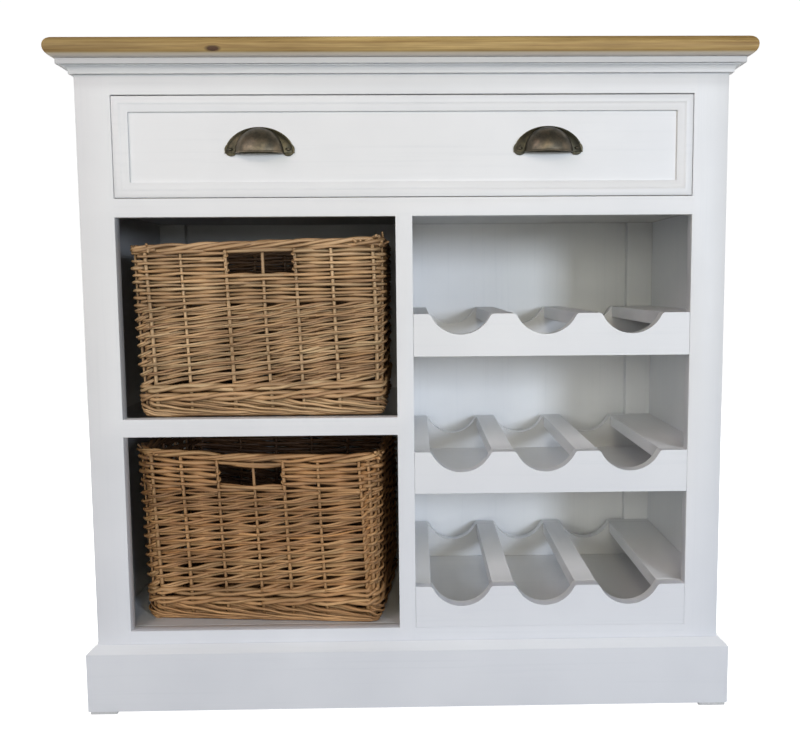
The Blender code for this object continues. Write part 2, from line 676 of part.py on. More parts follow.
def basket_mesh():
    """A tapered basket with a rolled rim, a thicker band at the foot and a hand hole in front."""
    wall_half = (BASKET_WIDTH / 2 - BASKET_RIM_RADIUS / 2, BASKET_DEPTH / 2 - BASKET_RIM_RADIUS / 2)
    wall_top = BASKET_HEIGHT - BASKET_RIM_RADIUS
    levels = [
        (0, BASKET_TAPER),
        (BASKET_BAND_HEIGHT, BASKET_TAPER - BASKET_BAND_PROUD),
        (BASKET_BAND_HEIGHT + BASKET_BAND_PROUD, BASKET_TAPER),
        (wall_top, 0),
    ]
    rings = [rounded_ring(wall_half[0] - inset, wall_half[1] - inset, z) for z, inset in levels]
    mesh = loft(rings, caps=(0,))
    blank = helper("basket_blank", finish_mesh(mesh, "basket_blank"))
    shell = blank.modifiers.new("wall", "SOLIDIFY")
    shell.thickness = BASKET_WALL
    shell.offset = -1
    shell.use_even_offset = True
    rim_half = (BASKET_WIDTH / 2 - BASKET_RIM_RADIUS, BASKET_DEPTH / 2 - BASKET_RIM_RADIUS)
    rim = helper_tube("rim", rounded_ring(*rim_half, wall_top), BASKET_RIM_RADIUS, True)
    boolean(blank, "UNION", rim)
    hole_top = BASKET_HEIGHT - HAND_HOLE_BELOW_RIM
    hole_height = (hole_top - HAND_HOLE_HEIGHT, hole_top)
    hole_depth = (-BASKET_DEPTH, 0)
    for side in (-1, 1):
        across = sorted((side * HAND_HOLE_STAKE / 2, side * HAND_HOLE_WIDTH / 2))
        boolean(blank, "DIFFERENCE", helper_box(f"hand_hole_{side}", across, hole_depth, hole_height))
    return evaluated_mesh(blank, "basket")


def make_baskets():
    """Two baskets of one size. The lower one stands a little turned in its bay."""
    data = basket_mesh()
    for name, floor, turn in (
        ("basket_upper", SHELF_TOP, 0),
        ("basket_lower", FLOOR_HEIGHT, LOWER_BASKET_TURN),
    ):
        reach = (BASKET_WIDTH * abs(math.sin(turn)) + BASKET_DEPTH * math.cos(turn)) / 2
        place = (BASKET_CENTRE, FRONT + BASKET_SETBACK + reach, floor + JOINT_GAP)
        add_piece(name, data, "wicker", place).rotation_euler.z = turn


def remove_helpers():
    """Clears away the helper shapes, whose results are in the finished meshes."""
    for obj in list(HELPERS.objects):
        bpy.data.objects.remove(obj, do_unlink=True)
    bpy.data.collections.remove(HELPERS)


clear_scene()
CABINET = new_collection("cabinet")
HELPERS = new_collection("helpers", hidden=True)
MATERIALS = {name: make_finish(name) for name in FINISHES}
make_top_board()
wrap_moulding("cornice", cornice_profile(), UNDER_TOP - JOINT_GAP, "white_paint")
make_face_frame()
make_case()
make_boards()
wrap_moulding("plinth", plinth_profile(), FOOT_HEIGHT + PLINTH_HEIGHT, "white_paint")
make_feet()
make_rack()
make_drawer_guides()
make_drawer_box()
make_drawer_front()
make_pulls()
make_baskets()
remove_helpers()
print("pieces:", len(CABINET.objects))
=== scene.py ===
# %% [markdown]
# # A painted cabinet with a pine top, a drawer, two wicker baskets and a bottle rack
# The joiner's model of the cabinet is already finished and arrives here as a fixed frame: every board, rail
# and moulding in its place. This lesson dresses it. Boards whose shape is right keep their mesh and only
# get a finish. What needs finer work than the model holds, such as the woven baskets, is made here and
# takes the place of the plain shape.

# %% Load the frame
import json
import math
import random

import bmesh
import bpy
import numpy as np
from mathutils import Matrix, Vector


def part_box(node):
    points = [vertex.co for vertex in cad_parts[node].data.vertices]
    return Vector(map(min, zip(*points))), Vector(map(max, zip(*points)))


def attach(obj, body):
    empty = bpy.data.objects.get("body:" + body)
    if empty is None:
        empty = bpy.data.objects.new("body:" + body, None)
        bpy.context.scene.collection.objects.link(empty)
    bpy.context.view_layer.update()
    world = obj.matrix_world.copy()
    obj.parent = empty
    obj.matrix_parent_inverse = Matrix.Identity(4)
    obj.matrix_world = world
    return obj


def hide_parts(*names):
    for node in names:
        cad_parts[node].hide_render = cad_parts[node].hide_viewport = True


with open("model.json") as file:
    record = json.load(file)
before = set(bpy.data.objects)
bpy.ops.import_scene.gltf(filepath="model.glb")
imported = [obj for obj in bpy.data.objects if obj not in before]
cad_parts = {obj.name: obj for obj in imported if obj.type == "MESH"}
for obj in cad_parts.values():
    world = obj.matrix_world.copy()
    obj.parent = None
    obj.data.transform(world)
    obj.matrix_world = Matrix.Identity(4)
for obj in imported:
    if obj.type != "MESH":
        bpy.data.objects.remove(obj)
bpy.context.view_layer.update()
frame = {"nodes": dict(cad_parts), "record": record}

print("boards and pieces in the model:", len(frame["nodes"]))

# %% [markdown]
# ## The camera
# The picture was taken with a camera a little right of the middle, at about the height of the upper bay,
# looking slightly down. Its place, tilt and lens were found by fitting the cabinet's corners, so here they
# are only typed in. A camera could also be aimed with a Track To constraint, but an exact fit needs the
# small roll as well, so the three directions of the camera are worked out and put in its matrix.

# %% Place the camera
CAMERA_PLACE = Vector((0.0126, -1.3943, 0.5793))
TURN, DOWN, ROLL = 0.019, 0.098, -0.007
FOCAL_PIXELS, PICTURE_WIDTH, PICTURE_HEIGHT = 925, 800, 733
CENTRE_PIXEL = (433.5, 374.1)
SENSOR = 36

looking = Vector((math.sin(TURN) * math.cos(DOWN), math.cos(TURN) * math.cos(DOWN), -math.sin(DOWN)))
level = Vector((math.cos(TURN), -math.sin(TURN), 0))
upward = level.cross(looking)
across = math.cos(ROLL) * level + math.sin(ROLL) * upward
upward = math.cos(ROLL) * upward - math.sin(ROLL) * level

bpy.ops.object.camera_add()
camera = bpy.context.object
camera.name = "camera"
aim = Matrix((across, upward, -looking)).transposed().to_4x4()
aim.translation = CAMERA_PLACE
camera.matrix_world = aim
camera.data.sensor_width = SENSOR
camera.data.lens = FOCAL_PIXELS * SENSOR / PICTURE_WIDTH
camera.data.shift_x = (PICTURE_WIDTH / 2 - CENTRE_PIXEL[0]) / PICTURE_WIDTH
camera.data.shift_y = (CENTRE_PIXEL[1] - PICTURE_HEIGHT / 2) / PICTURE_WIDTH
camera.data.clip_start = 0.01
bpy.context.scene.camera = camera
print("lens in mm:", camera.data.lens)

# %% [markdown]
# ## Small helpers for modelling by hand
# Blender's operators act on whatever is selected, and loading the frame leaves all its boards selected. So
# each piece starts by deselecting everything. Another helper picks faces of the piece in edit mode by a
# rule on their middle and direction, as one would pick them by clicking.

# %% Select and change parts of a piece
def deselect_all():
    """Nothing selected, object mode."""
    if bpy.context.mode != "OBJECT":
        bpy.ops.object.mode_set(mode="OBJECT")
    bpy.ops.object.select_all(action="DESELECT")


def name_new(name):
    """Names the piece that was just added, and its mesh."""
    piece = bpy.context.object
    piece.name = piece.data.name = name
    return piece


def edit_whole():
    """Edit mode, with everything selected."""
    bpy.ops.object.mode_set(mode="EDIT")
    bpy.ops.mesh.select_all(action="SELECT")


def close_up(inside=False):
    """Turns all faces the same way and leaves edit mode."""
    bpy.ops.mesh.select_all(action="SELECT")
    bpy.ops.mesh.normals_make_consistent(inside=inside)
    bpy.ops.object.mode_set(mode="OBJECT")


def pick(piece, kind, rule):
    """In edit mode, selects only the faces, edges or corners for which the rule holds."""
    bpy.ops.mesh.select_mode(type={"faces": "FACE", "edges": "EDGE", "verts": "VERT"}[kind])
    bpy.ops.mesh.select_all(action="DESELECT")
    mesh = bmesh.from_edit_mesh(piece.data)
    for part in [part for part in getattr(mesh, kind) if rule(part)]:
        part.select_set(True)
    mesh.select_flush_mode()
    bmesh.update_edit_mesh(piece.data)


def extrude(y=0, z=0):
    """Extrudes what is selected and moves it back or up."""
    bpy.ops.mesh.extrude_region_move(TRANSFORM_OT_translate={"value": (0, y, z)})


print("selected after loading:", len(bpy.context.selected_objects))

# %% [markdown]
# ## The stage
# The cabinet stands in a plain white studio. A real studio has a paper sweep, a sheet that runs from under
# the object up the wall with no corner in it. A flat plane would show a horizon line behind the cabinet. So
# a disc is added, its rim is extruded outwards and upwards a few times, and smooth shading hides the steps:
# the same seamless white from every side.

# %% Make the sweep
DISC_RADIUS, RIM_WIDTH = 4.2, 0.2
STEP_LENGTH, STEPS, DEGREES_STEEPER = 0.6, 11, 11
PAPER = {"Base Color": (0.86, 0.86, 0.86, 1), "Roughness": 0.9, "Specular IOR Level": 0.0,
         "Emission Color": (1, 1, 1, 1), "Emission Strength": 0.97}

deselect_all()
bpy.ops.mesh.primitive_circle_add(vertices=96, radius=DISC_RADIUS, fill_type="NGON")
sweep = name_new("studio_sweep")
edit_whole()
bpy.ops.mesh.inset(thickness=RIM_WIDTH, depth=0)
reach = DISC_RADIUS
for step in range(STEPS):
    pick(sweep, "edges", lambda edge: edge.is_boundary)
    climb = math.radians(min(90, DEGREES_STEEPER * (step + 0.5)))
    extrude(z=STEP_LENGTH * math.sin(climb))
    grown = (reach + STEP_LENGTH * math.cos(climb)) / reach
    bpy.ops.transform.resize(value=(grown, grown, 1), center_override=(0, 0, 0))
    reach *= grown
close_up(inside=True)
bpy.ops.object.shade_smooth()

paper = bpy.data.materials.new("studio_paper")
paper.use_nodes = True
for socket, value in PAPER.items():
    paper.node_tree.nodes["Principled BSDF"].inputs[socket].default_value = value
sweep.data.materials.append(paper)
sweep.visible_diffuse = False
sweep.visible_shadow = False
print("sweep reaches out to", round(reach, 2), "m")

# %% [markdown]
# ## The light
# In the picture the left part of the rack's back panel is bright and its right part and right wall are
# dark, so most light comes from the front and from the right. Five soft square lamps stand in front. Each
# was tried alone, and their powers and colours were then chosen so that together they give every part of
# the cabinet the brightness that it has in the picture. One large window would be simpler, but leaves the
# bays too even. Four more lamps stand behind and beside the cabinet. They reach only its back, sides and
# top, which the picture doesn't show. The world's faint colour stands for the rest of the pale room.
#
# The slats of the two lower tiers and the floor between them catch more light in the picture than their
# surroundings. A tenth lamp shines down on them from the right, and light linking keeps it off everything
# else.

# %% Set up the lamps
FRONT_LAMPS = (("cool_right", (1.34, -2.97, 0.93), 0.5, 43.5, (0.72, 0.81, 0.96)),
               ("left", (-1.34, -2.97, 0.93), 0.5, 12.4, (0.97, 0.98, 0.91)),
               ("high_middle", (0, -3.02, 1.78), 0.5, 12.4, (1.0, 0.87, 0.62)),
               ("front", (0.28, -3.28, 0.76), 1.2, 16.2, (1.0, 0.98, 0.86)),
               ("high_left", (-1.78, -2.22, 2.08), 1.2, 19.0, (1.0, 0.87, 0.91)))
FAR_PAIRS = (("rear", 1.90, 2.10, 1.75, 30.0), ("side", 2.70, 0.85, 1.00, 34.0))
FAR_LAMPS = tuple((f"{name}_{side}", (sign * x, y, z), 1.6, power, (1.0, 0.99, 0.97))
                  for name, x, y, z, power in FAR_PAIRS for side, sign in (("right", 1), ("left", -1)))
CABINET_MIDDLE = (0, -0.1, 0.48)
RACK_LAMP = ("into_the_rack", (1.519, -1.998, 1.48), 1.6, 30.0, (1.0, 0.99, 0.98))
RACK_MIDDLE = (0.19, -0.10, 0.30)


def soft_lamp(name, place, size, power, colour, towards=CABINET_MIDDLE):
    """A square lamp that looks at a point."""
    bpy.ops.object.light_add(type="AREA", location=place)
    lamp = bpy.context.object
    lamp.name = name
    lamp.data.shape = "RECTANGLE"
    lamp.data.size = size
    lamp.data.size_y = size
    lamp.data.energy = power
    lamp.data.color = colour
    lamp.visible_camera = False
    lamp.rotation_euler = (Vector(towards) - Vector(place)).to_track_quat("-Z", "Y").to_euler()
    return lamp


deselect_all()
for settings in FRONT_LAMPS + FAR_LAMPS:
    soft_lamp(*settings)
lit = bpy.data.collections.new("lit from above")
for name, board in frame["nodes"].items():
    if name.startswith(("rack_slat_2", "rack_slat_3")) or name == "rack_floor_2":
        lit.objects.link(board)
soft_lamp(*RACK_LAMP, RACK_MIDDLE).light_linking.receiver_collection = lit

room = bpy.data.worlds.new("pale_room")
bpy.context.scene.world = room
room.use_nodes = True
room.node_tree.nodes["Background"].inputs["Color"].default_value = (1.0, 0.985, 0.95, 1)
room.node_tree.nodes["Background"].inputs["Strength"].default_value = 0.02
bpy.context.scene.view_settings.view_transform = "Standard"

# %% [markdown]
# ## Finishes
# A finish is a small network of nodes: patterns made by sums of noise, a ramp that turns a number into a
# colour, and a bump for the relief. Pictures of wood or paint could be used instead, but they repeat and
# blur close up, while a pattern that is worked out has detail at any distance. All patterns are read from
# the object's own space, in metres, so grain and brush marks have their true size.
#
# Two small classes keep the networks readable. A Coat is one finish, and a Value is what comes out of one
# of its nodes. Writing a sum with Values adds the nodes for it.

# %% A finish and its nodes
def rgba(colour):
    """A colour from three numbers, or a grey from one."""
    return (*colour, 1) if isinstance(colour, tuple) else (colour, colour, colour, 1)


class Coat:
    """A finish: a material, its shader and the nodes added to it."""

    def __init__(self, name, roughness, **inputs):
        self.material = bpy.data.materials.new(name)
        self.material.use_nodes = True
        self.tree = self.material.node_tree
        self.shader = self.tree.nodes["Principled BSDF"]
        self.fill(self.shader, Roughness=roughness, **inputs)
        self.place = self.add("TexCoord", "Object")

    def fill(self, node, **inputs):
        """Fills inputs by name, or by number as i0, i1. A Value is wired in, anything else is typed in."""
        for key, value in inputs.items():
            slot = node.inputs[int(key[1:]) if key[1:].isdigit() else key.replace("_", " ")]
            if isinstance(value, Value):
                self.tree.links.new(value.socket, slot)
            else:
                slot.default_value = rgba(value) if slot.type == "RGBA" else value

    def add(self, kind, output=0, settings=(), **inputs):
        """Adds a node and gives one of its outputs."""
        node = self.tree.nodes.new("ShaderNode" + kind)
        for key, value in dict(settings).items():
            setattr(node, key, value)
        self.fill(node, **inputs)
        return Value(self, node.outputs[output])

    def stored(self, name, output="Fac"):
        """What is stored on the mesh under a name."""
        return self.add("Attribute", output, {"attribute_name": name})

    def done(self, colour, height, strength, depth, **inputs):
        """Wires the colour and the relief, so many metres deep, into the shader."""
        bump = self.add("Bump", "Normal", Height=height, Strength=strength, Distance=depth)
        self.fill(self.shader, Base_Color=colour, Normal=bump, **inputs)
        return self.material


print("a coat can be mixed")

# %% [markdown]
# A Value is what comes out of a node: a number, a place or a colour. Its methods are the few nodes that
# all finishes here are made of, so a finish reads as a short recipe: noise, ramp, tint.

# %% What can be done with a value
class Value:
    """A number, a place or a colour in a finish."""

    def __init__(self, coat, socket):
        self.coat = coat
        self.socket = socket

    def maths(self, kind, second=0.0, third=0.0, clamp=False):
        """A sum with this number first, kept between 0 and 1 if clamped."""
        return self.coat.add("Math", 0, {"operation": kind, "use_clamp": clamp}, i0=self, i1=second, i2=third)

    def __add__(self, other):
        return self.maths("ADD", other)

    def __sub__(self, other):
        return self.maths("SUBTRACT", other)

    def __mul__(self, other):
        return self.maths("MULTIPLY", other)

    def __truediv__(self, other):
        return self.maths("DIVIDE", other)

    def __rtruediv__(self, other):
        return self.coat.add("Math", 0, {"operation": "DIVIDE"}, i0=other, i1=self)

    def line(self, slope, start):
        """The slope times this number, plus the start."""
        return self.maths("MULTIPLY_ADD", slope, start)

    def portion(self, low, high):
        """0 up to low, 1 from high on, and evenly rising between them."""
        return self.maths("MULTIPLY_ADD", 1 / (high - low), -low / (high - low), clamp=True)

    def between(self, start, end, low=0.0, high=1.0):
        """Goes softly from low to high while this number goes from start to end."""
        return self.coat.add("MapRange", 0, {"interpolation_type": "SMOOTHSTEP"}, Value=self,
                             From_Min=start, From_Max=end, To_Min=low, To_Max=high)

    def ramp(self, *stops):
        """Turns this number into a colour. The stops are (place, colour)."""
        shown = self.coat.add("ValToRGB", 0, i0=self)
        band = shown.socket.node.color_ramp
        while len(band.elements) < len(stops):
            band.elements.new(0.5)
        for element, (place, colour) in zip(band.elements, stops):
            element.position = place
            element.color = rgba(colour)
        return shown

    def blend(self, share, other, kind="MIX"):
        """Mixes another colour in. The share may be a number or a Value."""
        return self.coat.add("Mix", 2, {"data_type": "RGBA", "blend_type": kind}, i0=share, i6=self, i7=other)

    def tint(self, share, other):
        """Multiplies this colour by another one, as far as the share says."""
        return self.blend(share, other, "MULTIPLY")

    def vector(self, kind, other=(0, 0, 0), output=0, **inputs):
        """A sum on places."""
        return self.coat.add("VectorMath", output, {"operation": kind}, i0=self, i1=other, **inputs)

    def split(self):
        """The three numbers of a place."""
        first = self.coat.add("SeparateXYZ", 0, Vector=self)
        return [Value(self.coat, socket) for socket in first.socket.node.outputs]

    def within(self, low, high):
        """1 inside a box, 0 outside it."""
        middle, half = (Vector(low) + Vector(high)) / 2, (Vector(high) - Vector(low)) / 2
        x, y, z = self.vector("SUBTRACT", middle).vector("DIVIDE", half).vector("ABSOLUTE").split()
        return x.maths("MAXIMUM", y).maths("MAXIMUM", z).maths("LESS_THAN", 1.0)

    def noise(self, scale, detail=4.0, rough=0.55, turbulence=0.0):
        """Noise whose spots are drawn out: a small number along an axis makes long streaks there."""
        scale = scale if isinstance(scale, tuple) else (scale, scale, scale)
        moved = self.coat.add("Mapping", 0, Vector=self, Scale=scale)
        return self.coat.add("TexNoise", "Fac", Vector=moved, Scale=1.0, Detail=detail, Roughness=rough,
                             Distortion=turbulence)


print("ways to work with a value:", sum(callable(way) for way in vars(Value).values()))

# %% [markdown]
# ### White paint
# The body is brushed with satin white. Brushed paint is never one flat colour: the coat is a touch thinner
# here and thicker there, the bristles leave fine lines along each board, and the wood's grain shows
# faintly. So the finish has wide soft blotches for the colour, and two streaky noises for the relief. The
# streaks have to follow the board, so the same finish is made three times, for boards that run across,
# upright or front to back.
#
# The paint also carries painted light and shade. In the picture it is greyer close under the top, in the
# shade of the top and the cornice, nearly black deep in the basket bays but less so just above their
# floors, brighter in the rack and on the plinth's upper edge, where more light falls, and a little bluer
# low down, in bluish shade. The lamps alone don't give all of that, so the finish looks at the place on
# the cabinet and paints that light and shade into the colour there. Each tone in the list has a box that
# it fills, the axes along which it fades, and its colour.

# %% Mix the white paint
PAINT_LIGHT, PAINT_DARK = (0.790, 0.795, 0.800), (0.735, 0.742, 0.752)
# Painted shade under the top: on the rail below the cornice, on the cove, most on the fillet.
HEAD_LOW, HEAD_HIGH = 0.820, 0.870
SHADE_UNDER_TOP = ((0.05, 1.00), (0.18, 0.97), (0.32, 0.88), (0.52, 0.84), (0.58, 0.80), (0.64, 0.86),
              (0.72, 1.00), (0.750, 1.00), (0.757, 0.66), (1.00, 0.62))
# Painted shade in the basket bays, less just above the lowest floor and on the shelf.
BASKET_BAYS = ((-0.4165, -0.1520, 0.1080), (-0.0060, 0.1970, 0.6850))
BAY_FADES = ((1, -0.152, -0.020, 0.62, 0.50), (2, 0.112, 0.160, 0.25, 1.0))
SHELF_TOP = ((0.4000, 0.4012), (0.4015, 0.435, 1.0, 0.0))
SHELF_LIGHTER = -0.55
# Painted light on the plinth's upper edge, which faces up.
PLINTH_SIDES, PLINTH_FRONT = (0.4224, 0.4235), (-0.1735, -0.1724, 1.0, 0.0)
PLINTH_EDGE = ((0.0835, 0.0852), (0.12, 0.13, 1.0, 0.0))
PLINTH_EDGE_LIGHT = (1.15, 1.15, 1.12)
RACK_BAY = ((0.0060, -0.1600, 0.1080), (0.4165, 0.1970, 0.6850))
ANYWHERE = ((-1, -1, -1), (1, 1, 1))
# Painted light and shade: lighter where more light falls, darker where shade falls, bluish shade low down.
LIGHT_AND_SHADE_TONES = {
    "light on the rack": (RACK_BAY, ((1, -0.16, -0.10), (2, 0.48, 0.56, 1.0, 0.25)), 1.12),
    "shade on the rear rails": (((0.0060, 0.1572, 0.1080), (0.4165, 0.1581, 0.3570)), (), 0.81),
    "light on the rail tops": (((0.0100, -0.1712, 0.1122), (0.3765, -0.1517, 0.5400)), (), (1.21, 1.21, 1.20)),
    "shade on the rack ceiling": (((0.0060, -0.1530, 0.6780), (0.4165, 0.1930, 0.6850)), (), (0.76, 0.75, 0.72)),
    "shade on the rack's rear, towards the right": (RACK_BAY, ((0, 0.05, 0.24), (2, 0.36, 0.60), (1, 0.165, 0.174)),
                                         (0.90, 0.90, 0.88)),
    "shade on the lowest floor, right": (((0.0060, -0.1530, 0.1080), (0.4165, 0.1572, 0.1130)), ((0, 0.20, 0.30),),
                            (0.83, 0.83, 0.82)),
    "shade on the edge beside the upper basket": (((-0.3785, -0.1708, 0.4020), (-0.3700, -0.1520, 0.6670)), (),
                                     (0.72, 0.73, 0.74)),
    "light on the rack's back panel, left": (RACK_BAY, ((1, 0.1930, 0.1938), (0, 0.05, 0.24, 1.0, 0.0)), 1.07),
    "bluish shade low down": (ANYWHERE, ((2, 0.05, 0.60, 1.0, 0.0), (1, -0.165, -0.150, 1.0, 0.0)),
                       (0.98, 1.0, 1.055)),
}


def share_at(place, axes, box, fades):
    """1 in a box, fading along some axes: (axis, start, end, share at the start, share at the end)."""
    share = place.within(*box)
    for axis, *fade in fades:
        share = share * axes[axis].between(*fade)
    return share


def light_and_shade_of_place(coat, colour):
    """Paints light and shade in: under the top, in the basket bays, on the plinth's edge and by the list."""
    x, y, z = axes = coat.place.split()
    # Painted shade under the top.
    colour = colour.tint(1.0, z.portion(HEAD_LOW, HEAD_HIGH).ramp(*SHADE_UNDER_TOP))
    # Painted shade deep in the basket bays, less of it on the shelf's top.
    shelf = z.between(*SHELF_TOP[0]) * z.between(*SHELF_TOP[1])
    deep = share_at(coat.place, axes, BASKET_BAYS, BAY_FADES) * shelf.line(SHELF_LIGHTER, 1.0)
    colour = colour.blend(deep, 0.0)
    # Painted light on the plinth's upper edge.
    outside = x.maths("ABSOLUTE").between(*PLINTH_SIDES).maths("MAXIMUM", y.between(*PLINTH_FRONT))
    lit_ledge = z.between(*PLINTH_EDGE[0]) * outside * z.between(*PLINTH_EDGE[1])
    colour = colour.tint(lit_ledge, PLINTH_EDGE_LIGHT)
    # The painted light and shade of the list.
    for box, fades, tone in LIGHT_AND_SHADE_TONES.values():
        colour = colour.tint(share_at(coat.place, axes, box, fades), tone)
    return colour


def along_axis(axis, long, close):
    """A noise scale with long streaks along one axis, 0 to 2, close together across it."""
    return tuple(long if number == axis else close for number in range(3))


def white_paint(name, along):
    """Satin paint with brush marks along one axis, 0 to 2."""
    coat = Coat(name, 0.42)
    wash = coat.place.noise(5, detail=3).ramp((0.30, PAINT_DARK), (0.62, PAINT_LIGHT))
    lines = coat.place.noise(along_axis(along, 9.0, 420.0), detail=2)
    pores = coat.place.noise(along_axis(along, 3.0, 150.0), detail=5, rough=0.6)
    # The colour carries the painted light and shade of its place.
    colour = light_and_shade_of_place(coat, wash.tint(0.35, pores.ramp((0.28, (0.90, 0.91, 0.92)), (0.46, 1))))
    return coat.done(colour, lines * 0.5 + pores, 0.22, 0.0004, Roughness=lines.line(0.16, 0.36))


paint_across = white_paint("white_paint_across", 0)
paint_deep = white_paint("white_paint_deep", 1)
paint_upright = white_paint("white_paint_upright", 2)
print("paint mixed in three directions, tones in the list:", len(LIGHT_AND_SHADE_TONES))

# %% [markdown]
# ### Waxed pine for the top
# The top is glued up from a few pine boards and waxed. Along the grain the colour hardly changes, across it
# there are close light and dark lines, so the noise is stretched along X. Knots are what make pine look
# like pine: a dark oval that the grain lines flow round. Each knot is a place and a size; the distance to
# it, measured longer along the grain, gives both the dark spot and a push that bends the lines round it.
# One knot is where the picture has it, at the left of the front edge. The ends show growth rings, as arcs
# round a point below the board. The wax has bleached in the middle of the front. Along the lower edge a
# thin pale grey band is painted shade: it stands for the shaded white strip under the board.

# %% Grow the pine
KNOTS = ((-0.238, -0.200, 0.8728, 0.0050), (-0.335, -0.092, 0.890, 0.0085), (0.118, 0.046, 0.890, 0.0100),
         (0.301, -0.124, 0.890, 0.0070), (-0.071, 0.151, 0.890, 0.0060), (0.402, 0.118, 0.890, 0.0080))
KNOT_SHAPE = (0.42, 1, 1)
PLANK_WIDTH = 0.100
# The pale grey band along the lower edge is painted shade.
SHADE_BAND_LOW, SHADE_BAND_HIGH = 0.8650, 0.8705
PITH_HEIGHT, RING_WIDTH, RING_UNREST = 0.835, 0.0042, 0.004


def end_grain(y, z, plank, unrest):
    """The growth rings on a board's end: arcs round a pith that lies below the board."""
    across, below = y - (plank + 0.5) * PLANK_WIDTH, z - PITH_HEIGHT
    far = (across * across + below * below).maths("SQRT") + unrest * RING_UNREST
    waves = (far * (2 * math.pi / RING_WIDTH)).maths("SINE")
    return waves.portion(-1, 1).ramp((0.15, (0.300, 0.200, 0.085)), (0.45, (0.410, 0.295, 0.130)),
                                     (0.90, (0.520, 0.390, 0.190)))


def waxed_pine():
    """Knotty pine, grain along X."""
    coat = Coat("waxed_pine_grain", 0.6, Specular_IOR_Level=0.3)
    x, y, z = coat.place.split()
    grain, spot = coat.place, None
    for *middle, size in KNOTS:
        apart = coat.place.vector("SUBTRACT", middle)
        near = apart.vector("MULTIPLY", KNOT_SHAPE).vector("LENGTH", output="Value") / size
        spot = spot.maths("MINIMUM", near) if spot else near
        flow = size * 0.9 / (near * near + 0.8)
        grain = grain.vector("SUBTRACT", apart.vector("NORMALIZE").vector("SCALE", Scale=flow))
    plank = (y / PLANK_WIDTH).maths("FLOOR")
    grain = grain.vector("ADD", coat.add("CombineXYZ", X=plank * 3.7, Y=plank * 0.31))
    rings = grain.noise((2.6, 150, 150), detail=5, rough=0.66, turbulence=0.35)
    fibres = grain.noise((14, 900, 900), detail=3)
    wide = grain.noise((5, 45, 45), detail=4, rough=0.6)
    colour = rings.ramp((0.26, (0.270, 0.175, 0.062)), (0.42, (0.430, 0.315, 0.128)),
                        (0.56, (0.560, 0.440, 0.195)), (0.75, (0.660, 0.550, 0.275)))
    colour = colour.tint(0.85, wide.ramp((0.34, (0.66, 0.62, 0.56)), (0.64, (1.22, 1.22, 1.20))))
    colour = colour.tint(0.50, fibres.ramp((0.3, (0.62, 0.58, 0.52)), (0.7, 1.18)))
    own_tone = coat.add("TexWhiteNoise", "Value", {"noise_dimensions": "1D"}, W=plank)
    colour = colour.tint(0.55, own_tone.ramp((0.0, (0.80, 0.77, 0.72)), (1.0, (1.05, 1.04, 1.02))))
    on_end = coat.add("TexCoord", "Normal").split()[0].maths("ABSOLUTE").between(0.45, 0.80)
    colour = colour.blend(on_end, end_grain(y, z, plank, wide))
    dark = rings.ramp((0.3, (0.030, 0.013, 0.005)), (0.7, (0.090, 0.043, 0.016)))
    colour = colour.blend(spot.ramp((0.55, 1), (1.0, 0)), dark)
    colour = colour.tint(0.65, spot.ramp((1.0, (0.55, 0.42, 0.30)), (1.0, 1)))
    bleached = x.portion(-0.5, 0.5).ramp((0.05, (1.12, 1.14, 1.18)), (0.25, (1.15, 1.18, 1.20)),
                                         (0.48, (1.76, 1.89, 2.04)), (0.70, (1.43, 1.48, 1.55)), (0.95, 1.25))
    # Painted shade: a pale grey band along the lower edge of the board.
    shade_band = z.portion(SHADE_BAND_LOW, SHADE_BAND_HIGH)
    shade_band_colour = shade_band.ramp((0.05, (0.80, 0.74, 0.68)), (0.30, (0.73, 0.64, 0.54)), (0.60, (0.60, 0.52, 0.40)),
                         (0.9, (0.52, 0.44, 0.29)))
    colour = colour.tint(1.0, bleached).blend(shade_band.between(0.55, 1.0, 1.0, 0.0), shade_band_colour)
    return coat.done(colour, rings + fibres * 0.5, 0.30, 0.0004, Roughness=fibres.line(0.20, 0.50))


pine = waxed_pine()
print("knots:", len(KNOTS))

# %% [markdown]
# ### Bare wood inside the drawer
# The drawer's box and its guides are plain planed softwood, paler and drier than the top. It is seen only
# when the drawer is pulled out. The grain follows each board's length, so again there is one finish for
# each direction.

# %% Plane the drawer wood
def bare_wood(name, along):
    """Pale dry softwood with its grain along one axis."""
    coat = Coat(name, 0.62)
    rings = coat.place.noise(along_axis(along, 2.0, 85.0), detail=5, turbulence=0.3)
    fibres = coat.place.noise(along_axis(along, 12.0, 700.0), detail=2)
    colour = rings.ramp((0.28, (0.42, 0.290, 0.150)), (0.50, (0.56, 0.415, 0.245)),
                        (0.74, (0.64, 0.500, 0.320)))
    colour = colour.tint(0.35, fibres.ramp((0.3, (0.72, 0.69, 0.64)), (0.7, 1.1)))
    return coat.done(colour, rings + fibres, 0.25, 0.0004)


wood_across = bare_wood("drawer_wood_across", 0)
wood_deep = bare_wood("drawer_wood_deep", 1)
print("drawer wood planed in two directions")

# %% [markdown]
# ### Aged brass and foot pads
# The pulls are cast brass that was darkened and then rubbed by hands: blackish in general, greenish here
# and there, and browner and brighter where the metal comes through. A metal's colour is its reflection, so
# the blotches change the colour and the roughness together. Near the drawer no hand rubs the brass, so it
# stays darkest there, and the left pull is rubbed a little more than the right one.

# %% Cast the brass, mould the pads
PULL_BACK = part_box("cup_pull_left")[1].y
UNRUBBED = (PULL_BACK - 0.0120, PULL_BACK - 0.0045)


